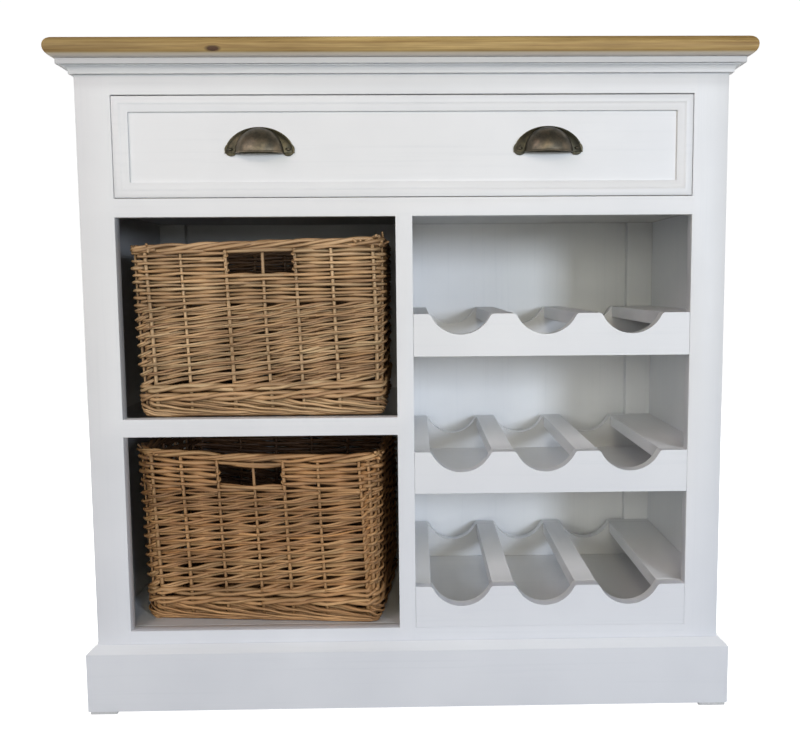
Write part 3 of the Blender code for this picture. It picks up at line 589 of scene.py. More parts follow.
def aged_brass():
    """Dark brown brass with a worn, blotchy skin, darkest near the drawer and brighter on the left pull."""
    coat = Coat("aged_brass_skin", 0.4, Metallic=0.85)
    x, y, _ = coat.place.split()
    blotch = coat.place.noise(95, detail=5, rough=0.6)
    speck = coat.place.noise(520, detail=3)
    colour = blotch.ramp((0.32, (0.052, 0.046, 0.035)), (0.50, (0.092, 0.079, 0.057)),
                         (0.68, (0.155, 0.122, 0.084)))
    colour = colour.blend(speck.ramp((0.60, 0), (0.78, 1)) * 0.35, (0.085, 0.100, 0.078))
    colour = colour.tint(y.between(*UNRUBBED), (0.36, 0.38, 0.33))
    colour = colour.tint(x.between(-0.1, 0.1, 1.0, 0.0), (1.30, 1.27, 1.22))
    return coat.done(colour, blotch + speck * 0.4, 0.35, 0.0003, Roughness=blotch.line(-0.35, 0.58))


def pad_stuff():
    """A pale matt pad with a felt-like skin."""
    coat = Coat("foot_pad_felt", 0.8)
    fuzz = coat.place.noise(600, detail=3)
    return coat.done(fuzz.ramp((0.3, (0.56, 0.57, 0.58)), (0.7, (0.74, 0.75, 0.76))), fuzz, 0.5, 0.0003)


brass = aged_brass()
pad = pad_stuff()
print("brass and pads ready")

# %% [markdown]
# ## Finish the boards that keep their shape
# Each board's longest side tells which way the brush or the grain runs. The model's slot names tell which
# finish it takes.

# %% Brush and wax the boards
SLOT_OF = {part["node"]: part["material_slot"] for part in frame["record"]["subparts"]}
COATS = {"white_paint": (paint_across, paint_deep, paint_upright),
         "drawer_wood": (wood_across, wood_deep, wood_across),
         "waxed_pine": (pine,) * 3, "antique_brass": (brass,) * 3, "foot_pad": (pad,) * 3}
for name, board in frame["nodes"].items():
    low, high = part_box(name)
    longest = max(range(3), key=lambda axis: high[axis] - low[axis])
    if SLOT_OF[name] in COATS:
        board.data.materials.clear()
        board.data.materials.append(COATS[SLOT_OF[name]][longest])
print("boards finished:", sum(slot in COATS for slot in SLOT_OF.values()))

# %% [markdown]
# ## Finishing a new piece
# Every piece made here is finished in the same way. Its place, size and modifiers go into its mesh, Shade
# Smooth by Angle rounds what should look round, it gets its finish, and it is told which body it rides on.

# %% Settle a piece
def only(piece):
    """Selects one piece and makes it the active one."""
    deselect_all()
    piece.select_set(True)
    bpy.context.view_layer.objects.active = piece


def modify(piece, name, kind, **settings):
    """Adds a modifier."""
    modifier = piece.modifiers.new(name, kind)
    for key, value in settings.items():
        setattr(modifier, key, value)


def apply_modifiers(piece):
    """Puts all modifiers of a piece into its mesh."""
    only(piece)
    for modifier in list(piece.modifiers):
        bpy.ops.object.modifier_apply(modifier=modifier.name)


def settle(piece, body, finishes, smooth):
    """Puts a piece's place into its mesh, gives it its finish and lets it ride on a body of the frame."""
    only(piece)
    bpy.ops.object.transform_apply(location=True, rotation=True, scale=True)
    apply_modifiers(piece)
    bpy.ops.object.shade_smooth_by_angle(angle=math.radians(smooth))
    piece.data.materials.clear()
    for finish in finishes:
        piece.data.materials.append(finish)
    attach(piece, body)
    print(piece.name, "faces:", len(piece.data.polygons))


print("finishes to choose from:", len(bpy.data.materials))

# %% [markdown]
# ## The face frame, in one painted piece
# On the real cabinet the stiles, rails and the front of the shelf are glued, filled and painted over, and
# no joint shows. The model has them as separate boards with a hair's gap. Here they become one piece: a
# flat sheet the size of the cabinet's front is cut along the edges of the openings with Bisect, the
# openings' faces are deleted, and what is left is extruded to the thickness of the boards. A Boolean with
# boxes would do as well, but leaves untidy faces that bevel badly.

# %% Cut out the face frame
stile_low, stile_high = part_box("stile_left")
right_low, right_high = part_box("stile_right")
centre_low, centre_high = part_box("centre_stile")
middle_low, middle_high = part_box("rail_middle")
bottom_low, bottom_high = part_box("rail_bottom")
shelf_low, shelf_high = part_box("basket_shelf")
drawer_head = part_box("rail_top")[0].z
FRONT_PLANE, BACK_PLANE = stile_low.y, stile_high.y


def front_sheet(name, y, left, right, foot, head):
    """A flat sheet that faces the front, in edit mode."""
    deselect_all()
    middle = ((left + right) / 2, y, (foot + head) / 2)
    bpy.ops.mesh.primitive_plane_add(size=1, location=middle, rotation=(math.pi / 2, 0, 0))
    sheet = name_new(name)
    sheet.scale = (right - left, head - foot, 1)
    bpy.ops.object.transform_apply(location=True, rotation=True, scale=True)
    edit_whole()
    return sheet


def cut(point, direction, **settings):
    """Cuts the whole piece along a plane."""
    bpy.ops.mesh.select_all(action="SELECT")
    bpy.ops.mesh.bisect(plane_co=point, plane_no=direction, **settings)


face_frame = front_sheet("face_frame", FRONT_PLANE, -right_high.x, right_high.x, stile_low.z, stile_high.z)
for x in (stile_high.x, right_low.x, centre_low.x, centre_high.x):
    cut((x, 0, 0), (1, 0, 0))
for z in (drawer_head, middle_high.z, middle_low.z, shelf_high.z, shelf_low.z, bottom_high.z, bottom_low.z):
    cut((0, 0, z), (0, 0, 1))


def in_opening(face):
    """True for the faces where the cabinet is open."""
    x, _, z = face.calc_center_median()
    if not stile_high.x < x < right_low.x:
        return False
    drawer_hole = middle_high.z < z < drawer_head
    bay = bottom_high.z < z < middle_low.z and not centre_low.x < x < centre_high.x
    shelf_edge = shelf_low.z < z < shelf_high.z and x < centre_low.x
    return drawer_hole or z < bottom_low.z or (bay and not shelf_edge)


pick(face_frame, "faces", in_opening)
bpy.ops.mesh.delete(type="FACE")
bpy.ops.mesh.select_all(action="SELECT")
extrude(y=BACK_PLANE - FRONT_PLANE)
print("faces of the blank:", len(bmesh.from_edit_mesh(face_frame.data).faces))

# %% [markdown]
# The shelf is one board with the strip in the face frame, so it grows out of it: the back face of the strip
# is extruded a hair, its two ends are moved out to the side panel and the partition, and it is extruded
# again up to the rear post. There its left end steps in to clear the post, and it runs on to the back
# panel.

# %% Grow the shelf out of the frame
HAIR, NICK, TOUCH = 0.0003, 0.0001, 1e-5
EDGE_ROUNDING, STILE_SHOWN = 0.0011, 0.0455
POST_LOW, POST_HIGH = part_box("rear_post_left")


def shelf_strip(face):
    """The back of the frame's strip at the shelf."""
    x, y, z = face.calc_center_median()
    return abs(y - BACK_PLANE) < TOUCH and shelf_low.z < z < shelf_high.z and stile_high.x < x < centre_low.x


def pick_end_face(plane):
    """Selects the face that looks backwards on a plane."""
    pick(face_frame, "faces", lambda f: abs(f.calc_center_median().y - plane) < TOUCH and f.normal.y > 0.9)


def shift_corners(plane, x, new_x):
    """Moves the corners at x on a plane sideways."""
    pick(face_frame, "verts", lambda v: abs(v.co.y - plane) < TOUCH and abs(v.co.x - x) < NICK)
    bpy.ops.transform.translate(value=(new_x - x, 0, 0))


pick(face_frame, "faces", shelf_strip)
extrude(y=HAIR)
shift_corners(BACK_PLANE + HAIR, stile_high.x, shelf_low.x)
shift_corners(BACK_PLANE + HAIR, centre_low.x, shelf_high.x)
pick_end_face(BACK_PLANE + HAIR)
extrude(y=POST_LOW.y - HAIR - BACK_PLANE - HAIR)
extrude(y=NICK)
shift_corners(POST_LOW.y - HAIR + NICK, shelf_low.x, POST_HIGH.x + HAIR)
pick_end_face(POST_LOW.y - HAIR + NICK)
extrude(y=shelf_high.y - POST_LOW.y + HAIR - NICK)
close_up()

modify(face_frame, "softened edges", "BEVEL", width=EDGE_ROUNDING, segments=2, limit_method="ANGLE")
settle(face_frame, "cabinet", (paint_upright, paint_across), smooth=40)
for face in face_frame.data.polygons:
    x, _, z = face.center
    on_stile = abs(x) > -stile_low.x - STILE_SHOWN or (centre_low.x < x < centre_high.x and z < middle_low.z)
    face.material_index = 0 if on_stile else 1
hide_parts("stile_left", "stile_right", "rail_top", "rail_middle", "rail_bottom", "centre_stile",
            "basket_shelf")

# %% [markdown]
# ## The moulding on the drawer front
# A mitred frame of moulding runs round the drawer front: a flat band, a soft slope inwards and a small
# steep step down to the panel, which shows as a thin dark line. It is one rectangle, inset step by step
# with Inset Faces, each time a little lower. Insets of a rectangle are mitred by themselves, so all four
# corners come out right at once, and the profile can be read as the list of steps. The paint has filled the
# gap round the real drawer a little, so the rectangle is a hair larger than the bare board.

# %% Inset the moulding
MOULDING_PROFILE = ((0.0083, 0.0), (0.0007, -0.0002), (0.0006, -0.0006), (0.0026, -0.0004), (0.0030, -0.0008),
                    (0.0030, -0.0010), (0.0014, -0.0006), (0.0004, -0.0030))
low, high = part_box("drawer_moulding")
EASE_SIDE = (right_low.x - high.x) * 0.55
EASE_TOP = (drawer_head - high.z) * 0.30
EASE_FOOT = (low.z - middle_high.z) * 0.62
print("paint at the drawer's sides, top and foot, in mm:",
      [round(ease * 1000, 2) for ease in (EASE_SIDE, EASE_TOP, EASE_FOOT)])
drawer_frame = front_sheet("drawer_frame", low.y, low.x - EASE_SIDE, high.x + EASE_SIDE, low.z - EASE_FOOT,
                           high.z + EASE_TOP)
for inwards, forwards in MOULDING_PROFILE:
    bpy.ops.mesh.inset(thickness=inwards, depth=forwards)
bpy.ops.mesh.delete(type="FACE")
pick(drawer_frame, "edges", lambda edge: edge.is_boundary and abs(edge.verts[0].co.y - low.y) < TOUCH)
extrude(y=high.y - low.y)
pick(drawer_frame, "edges", lambda edge: edge.is_boundary)
bpy.ops.mesh.bridge_edge_loops()
close_up()
modify(drawer_frame, "soft outer edge", "BEVEL", width=EDGE_ROUNDING, segments=2, limit_method="ANGLE",
       angle_limit=math.radians(60))
settle(drawer_frame, "drawer", (paint_across,), smooth=38)
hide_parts("drawer_moulding")

# %% [markdown]
# ## The cup pulls
# Each pull is a half-round cup on a thin plate whose two ears take the screws. The plate is a flat disc
# pressed into an oval and cut off below, with two small discs for the ears, united with it. One could also
# draw its outline by hand, but discs give true rounds.

# %% The plate and its ears
def spun(name, kind, size, place, turn=(0, 0, 0), **settings):
    """A primitive with its size, place and turn put into the mesh."""
    deselect_all()
    getattr(bpy.ops.mesh, f"primitive_{kind}_add")(location=place, rotation=turn, **settings)
    piece = name_new(name)
    piece.scale = size
    bpy.ops.object.transform_apply(location=True, rotation=True, scale=True)
    return piece


pull_low, pull_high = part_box("cup_pull_left")
middle_x, back_y = (pull_low.x + pull_high.x) / 2, pull_high.y
EAR, EAR_DROP, PLATE_THICK, PULL_LIFT = 0.0084, 0.0026, 0.0020, 0.0018
base_z = pull_low.z + EAR_DROP + PULL_LIFT
plate_y, ear_z = back_y - PLATE_THICK / 2, base_z + EAR - EAR_DROP
PLATE_HALF, PLATE_HIGH = (pull_high.x - pull_low.x) / 2 + 0.0013, pull_high.z + 0.0019 - base_z
CUP_HALF, CUP_DEEP, CUP_HIGH = 0.0325, plate_y - pull_low.y, PLATE_HIGH - 0.0012
CUP_WALL, FLARE_DEEP = 0.0013, 0.0064
UPRIGHT = (math.pi / 2, 0, 0)

plate = spun("pull_plate", "cylinder", (PLATE_HALF, PLATE_HIGH, 1), (middle_x, plate_y, base_z), UPRIGHT,
             vertices=72, radius=1, depth=PLATE_THICK)
edit_whole()
cut((0, 0, base_z + 0.0012), (0, 0, -1), clear_outer=True, use_fill=True)
bpy.ops.object.mode_set(mode="OBJECT")
for side in (-1, 1):
    ear_place = (middle_x + side * (PLATE_HALF - EAR), plate_y, ear_z)
    ear = spun("ear", "cylinder", (1, 1, 1), ear_place, UPRIGHT, vertices=32, radius=EAR, depth=PLATE_THICK)
    modify(plate, "union", "BOOLEAN", operation="UNION", solver="EXACT", object=ear)
    apply_modifiers(plate)
    bpy.data.objects.remove(ear)
modify(plate, "soft rim", "BEVEL", width=0.0005, segments=2, limit_method="ANGLE")
apply_modifiers(plate)
print("faces of the plate:", len(plate.data.polygons))

# %% [markdown]
# The cup is a quarter of a hollow ball: a sphere of unequal sizes with its lower and rear parts deleted
# and a wall given by Solidify. A second, much flatter one of that kind is the swelling from which the cup
# rises, so that the plate has no flat rim.

# %% The cup and its swelling
def half_bowl(name, half, deep, high, foot):
    """A quarter of an egg with a wall: open below and at the back."""
    bowl = spun(name, "uv_sphere", (half, deep, high), (middle_x, plate_y, base_z),
                segments=48, ring_count=24, radius=1)
    edit_whole()
    cut((0, 0, base_z + foot), (0, 0, -1), clear_outer=True)
    cut((0, plate_y, 0), (0, 1, 0), clear_outer=True)
    bpy.ops.object.mode_set(mode="OBJECT")
    modify(bowl, "wall", "SOLIDIFY", thickness=CUP_WALL, offset=-1)
    apply_modifiers(bowl)
    return bowl


cup = half_bowl("pull_cup", CUP_HALF, CUP_DEEP, CUP_HIGH, 0.0010)
flare = half_bowl("pull_flare", PLATE_HALF - 0.0010, FLARE_DEEP, PLATE_HIGH - 0.0009, 0.0013)
print("faces of the cup and the swelling:", len(cup.data.polygons), len(flare.data.polygons))

# %% [markdown]
# A rolled bead follows the mouth of the cup, a finer one the edge of the plate, and each ear has a low
# domed screw head. The left pull is joined from its parts, and the right one is a copy with its own mesh.

# %% Beads, screws, and both pulls
def mesh_of_curve(name, drawing):
    """Puts a drawn curve in the scene and converts it to a mesh."""
    piece = bpy.data.objects.new(name, drawing)
    bpy.context.scene.collection.objects.link(piece)
    only(piece)
    bpy.ops.object.convert(target="MESH")
    return bpy.context.object


def bead(name, points, thick):
    """A round bead along points, as a mesh with closed ends."""
    drawing = bpy.data.curves.new(name, "CURVE")
    drawing.dimensions = "3D"
    drawing.bevel_depth = thick
    drawing.bevel_resolution = 2
    drawing.use_fill_caps = True
    line = drawing.splines.new("POLY")
    line.points.add(len(points) - 1)
    for knot, at in zip(line.points, points):
        knot.co = (*at, 1)
    return mesh_of_curve(name, drawing)


turns = [(math.cos(math.pi * k / 36), math.sin(math.pi * k / 36)) for k in range(37)]
mouth = bead("pull_mouth", [(middle_x + (CUP_HALF - 0.0008) * right, plate_y - (CUP_DEEP - 0.0006) * out,
                             base_z + 0.0014) for right, out in turns], 0.0012)
edge = bead("pull_edge", [(middle_x + (PLATE_HALF - 0.0022) * right, back_y - PLATE_THICK - 0.0001,
                           base_z + (PLATE_HIGH - 0.0016) * up) for right, up in turns[5:32]], 0.0007)
screws = []
for side in (-1, 1):
    screw_place = (middle_x + side * (PLATE_HALF - EAR + 0.0006), back_y - PLATE_THICK - 0.0022, ear_z)
    screws.append(spun(f"screw_{side + 1}", "uv_sphere", (1, 0.5, 1), screw_place, UPRIGHT,
                       segments=20, ring_count=10, radius=0.0039))
only(plate)
for part in (cup, flare, mouth, edge, *screws):
    part.select_set(True)
bpy.ops.object.join()
pull_left = name_new("pull_left")
only(pull_left)
bpy.ops.object.duplicate_move(
    TRANSFORM_OT_translate={"value": (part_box("cup_pull_right")[0].x - pull_low.x, 0, 0)})
pull_right = name_new("pull_right")
for pull, node in ((pull_left, "cup_pull_left"), (pull_right, "cup_pull_right")):
    settle(pull, "drawer", (brass,), smooth=40)
    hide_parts(node)

# %% [markdown]
# ## The wicker baskets
# A willow basket like this is woven on upright rods, the stakes. Round them, from the foot up, go: a foot
# border of long rods that cross each other, a few rows of waling, where three thick rods pass in turn in
# front of two stakes and behind one, then the siding, and last a rope-like border at the rim. The siding is
# slewed: two thin rods are worked together as one. They start at their own stake and climb one row with
# every stake, now in front, now behind. Nearer to the rim the rows are level and single. So everything is a
# bent rod on one wall, and the whole basket can be told as a list of rods: through which points it goes and
# how thick it is there.
#
# A sheet with a woven picture would be quicker, but the outline of a real basket is bumpy and one can see
# through its gaps. Bevelled curves are how one would draw such rods by hand in Blender, so each rod is one
# spline with its own thickness at each point, and Convert turns them into a mesh.

# %% The wall that the rods follow
SHELL_LOW, SHELL_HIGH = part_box("basket_upper")
BASKET_HALF_X = (SHELL_HIGH.x - SHELL_LOW.x) / 2 - 0.0065
BASKET_HALF_Y = (SHELL_HIGH.y - SHELL_LOW.y) / 2 - 0.0085
BASKET_TALL = SHELL_HIGH.z - SHELL_LOW.z
CORNER, TAPER = 0.019, 0.0065
STRAIGHT_X, STRAIGHT_Y = 2 * (BASKET_HALF_X - CORNER), 2 * (BASKET_HALF_Y - CORNER)
QUARTER = CORNER * math.pi / 2
ROUND = 2 * (STRAIGHT_X + STRAIGHT_Y) + 4 * QUARTER


def wall_point(run, z, out, shape):
    """A place on the wall: how far round from the front left corner, how high, how far out."""
    sides = ((STRAIGHT_X, -math.pi / 2, (-1, -1)), (STRAIGHT_Y, 0, (1, -1)),
             (STRAIGHT_X, math.pi / 2, (1, 1)), (STRAIGHT_Y, math.pi, (-1, 1)))
    rest = run % ROUND
    for length, facing, (right, back) in sides:
        corner = (right * STRAIGHT_X / 2, back * STRAIGHT_Y / 2)
        if rest < length:
            angle, along = facing, rest
            break
        if rest < length + QUARTER:
            angle, along = facing + (rest - length) / CORNER, length
            break
        rest -= length + QUARTER
    up = min(1, max(0, z / BASKET_TALL))
    reach = CORNER - TAPER * (1 - up) + out + shape["belly"] * math.sin(math.pi * up)
    forward = (math.cos(facing + math.pi / 2), math.sin(facing + math.pi / 2))
    x = corner[0] + forward[0] * along + reach * math.cos(angle) + shape["skew"] * up
    y = corner[1] + forward[1] * along + reach * math.sin(angle)
    share = x / BASKET_HALF_X
    y += shape["crooked"] * share * min(0, y / BASKET_HALF_Y)
    return Vector((x, y, z * (1 + shape["tilt"] * share + shape["sag"] * share * share)))


print("way round the wall:", round(ROUND, 3), "m")

# %% [markdown]
# ### Where the stakes stand
# The stakes are not evenly spaced. Those in front stand at places read off the picture, and each rounded
# corner has a pair close together. They also lean a little the way the weaver works, to the right at the
# foot. Each basket has its own stakes and its own unevenness, so a basket is a small class that is asked
# for points on its wall.

# %% Set up a basket
LEAN = 0.0065
SIDE_STAKES, CORNER_STAKES = (-0.083, -0.0275, 0.0275, 0.083), (0.24, 0.93)


class Basket:
    """The stakes, heights and unevenness of one basket, from its own seed."""

    def __init__(self, seed, front, back, rows_up, **shape):
        self.dice = random.Random(seed)
        self.rows_up = rows_up
        self.shape = shape
        self.uneven = {}
        self.stakes = self.stake_runs(front, back)
        self.count = len(self.stakes)

    def stake_runs(self, front, back):
        """How far round the wall each stake stands at the rim."""
        sides = ((STRAIGHT_X, front), (STRAIGHT_Y, SIDE_STAKES),
                 (STRAIGHT_X, back), (STRAIGHT_Y, SIDE_STAKES))
        runs, start = [], 0.0
        for length, places in sides:
            runs += [start + length / 2 + x for x in places]
            runs += [start + length + QUARTER * share for share in CORNER_STAKES]
            start += length + QUARTER
        return sorted(run % ROUND for run in runs)

    def nearest(self, x):
        """The number of the front stake nearest to a place."""
        return min(range(self.count), key=lambda k: abs(self.stakes[k] - STRAIGHT_X / 2 - x))

    def run(self, number, z):
        """A stake's place round the wall at a height. Numbers past the last stake mean the next round."""
        rounds, stake = divmod(number, self.count)
        return self.stakes[stake] + ROUND * rounds + LEAN * (1 - z / BASKET_TALL)

    def wobble(self, stake, row, size):
        """The same small number each time for the same crossing."""
        key = (stake % self.count, row)
        if key not in self.uneven:
            self.uneven[key] = self.dice.uniform(-1, 1)
        return size * self.uneven[key]

    def at(self, run, z, out):
        """A point on this basket's wall."""
        return wall_point(run, z, out, self.shape)


upper = Basket(11, (-0.102, -0.0428, 0.007, 0.0493, 0.0978), (-0.096, -0.048, 0.0, 0.048, 0.096), 17,
               belly=0.0012, tilt=0.019, sag=-0.004, skew=-0.003, crooked=0.0, stout=1.0)
lower = Basket(23, (-0.107, -0.0565, -0.006, 0.036, 0.084, 0.1405), (-0.090, -0.030, 0.030, 0.090), 22,
               belly=0.0006, tilt=-0.012, sag=0.028, skew=-0.004, crooked=0.0055, stout=1.07)
print("stakes:", upper.count, "and", lower.count)

# %% [markdown]
# ### Drawing rods
# Each rod is a list of points with a radius. Both ends are closed by a last point with no radius, a tenth
# of a millimetre further on. After Convert, numbers for the finish are stored at every corner of the mesh:
# the rod's own tone, and a place made of the length along the rod and the direction round it, so that the
# bark's streaks run along the rod however it bends. A last number tells how much dust and painted shade
# the rod gets there.

# %% Draw rods as curves and convert them
SIDES = 8
END_CAP = 1e-4
BARK_LENGTH, BARK_SHIFT = 40, 900
# The level of dust and painted shade in front, between the worn, highlit bends and the hidden parts.
FRONT_DUST_AND_SHADE = 0.25


def stored_numbers(piece, name, kind, values):
    """Stores numbers at the corners of a mesh."""
    layer = piece.data.attributes.new(name, "FLOAT_VECTOR" if kind == "vector" else "FLOAT", "POINT")
    layer.data.foreach_set(kind, values.ravel().astype(np.float32))


def dust_and_shade(piece, turn, place):
    """Dust and shade per corner: 0 on worn, highlit bends, 0.25 in front, to 1 in recesses, inside, below."""
    own = np.array(Matrix.Rotation(turn, 3, "Z"))
    spots, facings = np.empty(len(piece.data.vertices) * 3), np.empty(len(piece.data.vertices) * 3)
    piece.data.vertices.foreach_get("co", spots)
    piece.data.vertices.foreach_get("normal", facings)
    x, y, z = ((spots.reshape(-1, 3) - np.array(place)) @ own).T
    facing_x, facing_y, facing_z = (facings.reshape(-1, 3) @ own).T
    front_or_back = np.abs(x) / BASKET_HALF_X < np.abs(y) / BASKET_HALF_Y
    outwards = np.where(front_or_back, facing_y * np.sign(y), facing_x * np.sign(x))
    reach = CORNER - TAPER * (1 - np.clip(z / BASKET_TALL, 0, 1))
    past_x, past_y = np.abs(x) - STRAIGHT_X / 2, np.abs(y) - STRAIGHT_Y / 2
    out = np.hypot(np.maximum(past_x, 0), np.maximum(past_y, 0)) - reach
    out += np.minimum(np.maximum(past_x, past_y), 0)
    # Painted shade with some dust inside, behind, in recesses and underneath; a painted highlight with wear
    # outermost.
    inside = np.clip(0.45 - outwards, 0, 1)
    behind = np.clip((y + BASKET_HALF_Y - 0.012) / 0.05, 0, 1)
    recess = np.clip((0.0005 - out) / 0.0060, 0, 1)
    under = np.clip((-0.15 - facing_z) / 0.7, 0, 1)
    worn_and_highlit = np.clip((out - 0.0042) / 0.0030, 0, 1)
    hidden = np.maximum.reduce([inside, 0.50 * behind, 0.12 * recess, 0.72 * under])
    return FRONT_DUST_AND_SHADE + (1 - FRONT_DUST_AND_SHADE) * hidden - FRONT_DUST_AND_SHADE * worn_and_highlit * (1 - hidden)


def draw_rods(name, rods, turn, place):
    """Makes one piece of many rods. A rod is (points, radii, tone)."""
    drawing = bpy.data.curves.new(name, "CURVE")
    drawing.dimensions = "3D"
    drawing.bevel_depth = 1.0
    drawing.bevel_resolution = SIDES // 2 - 2
    moved = Matrix.Translation(place) @ Matrix.Rotation(turn, 4, "Z")
    run, tones = [], []
    for points, radii, tone in rods:
        first = points[0] + (points[0] - points[1]).normalized() * END_CAP
        last = points[-1] + (points[-1] - points[-2]).normalized() * END_CAP
        points, radii = [first, *points, last], [0.0, *radii, 0.0]
        spline = drawing.splines.new("POLY")
        spline.points.add(len(points) - 1)
        for knot, at, radius in zip(spline.points, points, radii):
            knot.co = (*(moved @ at), 1)
            knot.radius = radius
        run.append(np.cumsum([0.0] + [(b - a).length for a, b in zip(points, points[1:])]))
        tones.append(np.full(len(points), tone))
    piece = mesh_of_curve(name, drawing)
    run, tones = np.repeat(np.concatenate(run), SIDES), np.repeat(np.concatenate(tones), SIDES)
    turns = np.tile(np.arange(SIDES), len(run) // SIDES) * 2 * math.pi / SIDES
    bark = np.stack([run * BARK_LENGTH + tones * BARK_SHIFT, np.cos(turns), np.sin(turns)], 1)
    stored_numbers(piece, "bark", "vector", bark)
    stored_numbers(piece, "tone", "value", tones)
    edit_whole()
    bpy.ops.mesh.remove_doubles(threshold=1e-6)
    close_up()
    bpy.ops.object.shade_smooth()
    stored_numbers(piece, "dust_and_shade", "value", dust_and_shade(piece, turn, place))
    print(name, "rods:", len(rods), "faces:", len(piece.data.polygons))
    return piece


# %% [markdown]
# ### Willow
# Willow that was boiled and peeled is tan, and no two rods are alike: some are orange-brown, some greyish
# green. The rod's tone picks its colour from a ramp. Along the rod go fine streaks and now and then the
# dark scar of a bud. The finish reads the numbers stored on the rods, so the streaks follow every bend. The
# inside of the basket is far darker than its front in the picture. That is painted shade, with a little
# dust: it darkens the rods inside, on the sides and back, in the gaps and on their undersides. The
# outermost bends are lighter, partly worn pale and partly a painted highlight. So each corner of the mesh
# also knows how far out it lies and how much it faces inwards or down.

# %% Peel the willow
def peeled_willow(name, brown):
    """Peeled rods. Brown is 0 for the fresher basket and 1 for the darker one."""
    coat = Coat(name, 0.62)
    bark = coat.stored("bark", "Vector")
    colour = coat.stored("tone").ramp(
        (0.00, (0.330, 0.195, 0.095)), (0.16, (0.430, 0.275, 0.140)), (0.40, (0.500, 0.335, 0.180)),
        (0.62, (0.470, 0.295, 0.145)), (0.80, (0.560, 0.390, 0.220)), (0.93, (0.475, 0.340, 0.185)),
        (1.0, (0.500, 0.285, 0.120)))
    streaks = bark.noise((0.10, 1.6, 1.6), detail=4, rough=0.6)
    drift = bark.noise((0.035, 0.3, 0.3), detail=2)
    scars = bark.noise((0.55, 0.9, 0.9), detail=1)
    stains = coat.place.noise((13, 13, 17), detail=3)
    colour = colour.tint(0.65, streaks.ramp((0.32, (0.52, 0.46, 0.40)), (0.64, 1.20)))
    colour = colour.tint(0.55, drift.ramp((0.36, (0.58, 0.52, 0.46)), (0.62, (1.16, 1.16, 1.14))))
    colour = colour.tint(0.8, scars.ramp((0.245, (0.30, 0.24, 0.18)), (0.285, 1)))
    colour = colour.tint(brown, (0.84, 0.73, 0.60))
    colour = colour.tint(0.8, stains.ramp((0.36, (0.66, 0.62, 0.56)), (0.62, 1.16)))
    # Painted shade and dust darken hidden rods; a painted highlight and wear lighten the outermost bends.
    colour = colour.tint(1.0, coat.stored("dust_and_shade").ramp((0.0, 1.24), (0.25, 1.07), (0.60, (0.60, 0.51, 0.40)),
                                                        (1.0, (0.21, 0.16, 0.12))))
    return coat.done(colour, streaks, 0.35, 0.0005)


willow_upper = peeled_willow("willow_upper", 0.0)
willow_lower = peeled_willow("willow_lower", 1.0)
print("willow peeled")

# %% [markdown]
# ### Weaving the siding
# A crossing is where a rod passes a stake. Its height is the row's height plus a little unevenness, and the
# rod lies in front of the stake or behind it. Between two stakes the rod swings over from one side to the
# other along half a wave, which is how a springy rod bends. Of two rods worked together, one lies on the
# other at the stake, and between the stakes they spread and fill the row.

# %% Bend a rod round the stakes
STAKE_THICK = 0.0024
SIDING_FOOT, SIDING_HEAD = 0.0455, 0.2250
ROW_LOW, ROW_HIGH, LEVEL_ROW, UNEVEN = 0.0068, 0.0056, 0.0050, 0.0011
THICK_WAVES = 0.07
HOLE_FOOT, HOLE_HEAD = 0.1905, 0.2205


def row_heights(basket):
    """The height of every row up to the rim: slewed rows first, thick ones lowest, then level ones."""
    heights = [SIDING_FOOT]
    for row in range(basket.rows_up):
        heights.append(heights[-1] + ROW_LOW + (ROW_HIGH - ROW_LOW) * row / basket.rows_up)
    heights.append(heights[-1] + LEVEL_ROW * 0.6)
    while heights[-1] + LEVEL_ROW < SIDING_HEAD:
        heights.append(heights[-1] + LEVEL_ROW)
    return heights


def growth(dice, thick, thin):
    """How thick a rod is at each crossing: thin towards its tip, and never quite even."""
    waves = [(dice.uniform(0.5, 2.3), dice.uniform(0, 6.28)) for _ in range(2)]
    return lambda s: (thick - thin * s) * (1 + THICK_WAVES * sum(math.sin(speed * s + begin)
                                                                 for speed, begin in waves))


SINGLE, PAIRED = (1.20, 0.42), (1.14, 0.26)
PAIR_NEAR, PAIR_WIDER = 0.0009, 0.0009
SAG = 0.0010
BEND_POINTS = 8


def swing(basket, crossings, thick, pair):
    """The points of a rod through crossings: (stake number, height, 1 in front or -1 behind).

    Pair is 1 for the upper and outer rod of two, -1 for the other and 0 for a rod on its own.
    """
    points, radii = [], []
    full, pinch = PAIRED if pair else SINGLE
    off = 1.15 + 0.60 * pair if pair else 0.92
    sags = [basket.dice.uniform(-SAG, SAG) for _ in crossings]
    for index, ((a, za, sa), (b, zb, sb)) in enumerate(zip(crossings, crossings[1:])):
        ra, rb = basket.run(a, za), basket.run(b, zb)
        for k in range(BEND_POINTS + (index == len(crossings) - 2)):
            t = k / BEND_POINTS
            radius = thick(index + t)
            hug = STAKE_THICK + off * radius
            side = (sa + sb) / 2 + (sa - sb) / 2 * math.cos(math.pi * t)
            radius *= full - pinch * side * side
            ease = t - math.sin(2 * math.pi * t) / (5 * math.pi)
            z = za + (zb - za) * ease + sags[index] * math.sin(math.pi * t)
            z += pair * (PAIR_NEAR + PAIR_WIDER * (1 - min(1, side * side)))
            points.append(basket.at(ra + (rb - ra) * t, z, hug * side))
            radii.append(radius)
    return points, radii


def woven(basket, crossings, thick, thin, pair=0):
    """A rod through crossings, with a tone of its own."""
    return *swing(basket, crossings, growth(basket.dice, thick, thin), pair), basket.dice.random()


print("rows:", len(row_heights(upper)), "and", len(row_heights(lower)))

# %% [markdown]
# In the slewed part each rod starts at its own stake and climbs a row with every stake. Above it the rows
# stay level, and at the hand hole they stop at the two stakes beside it.

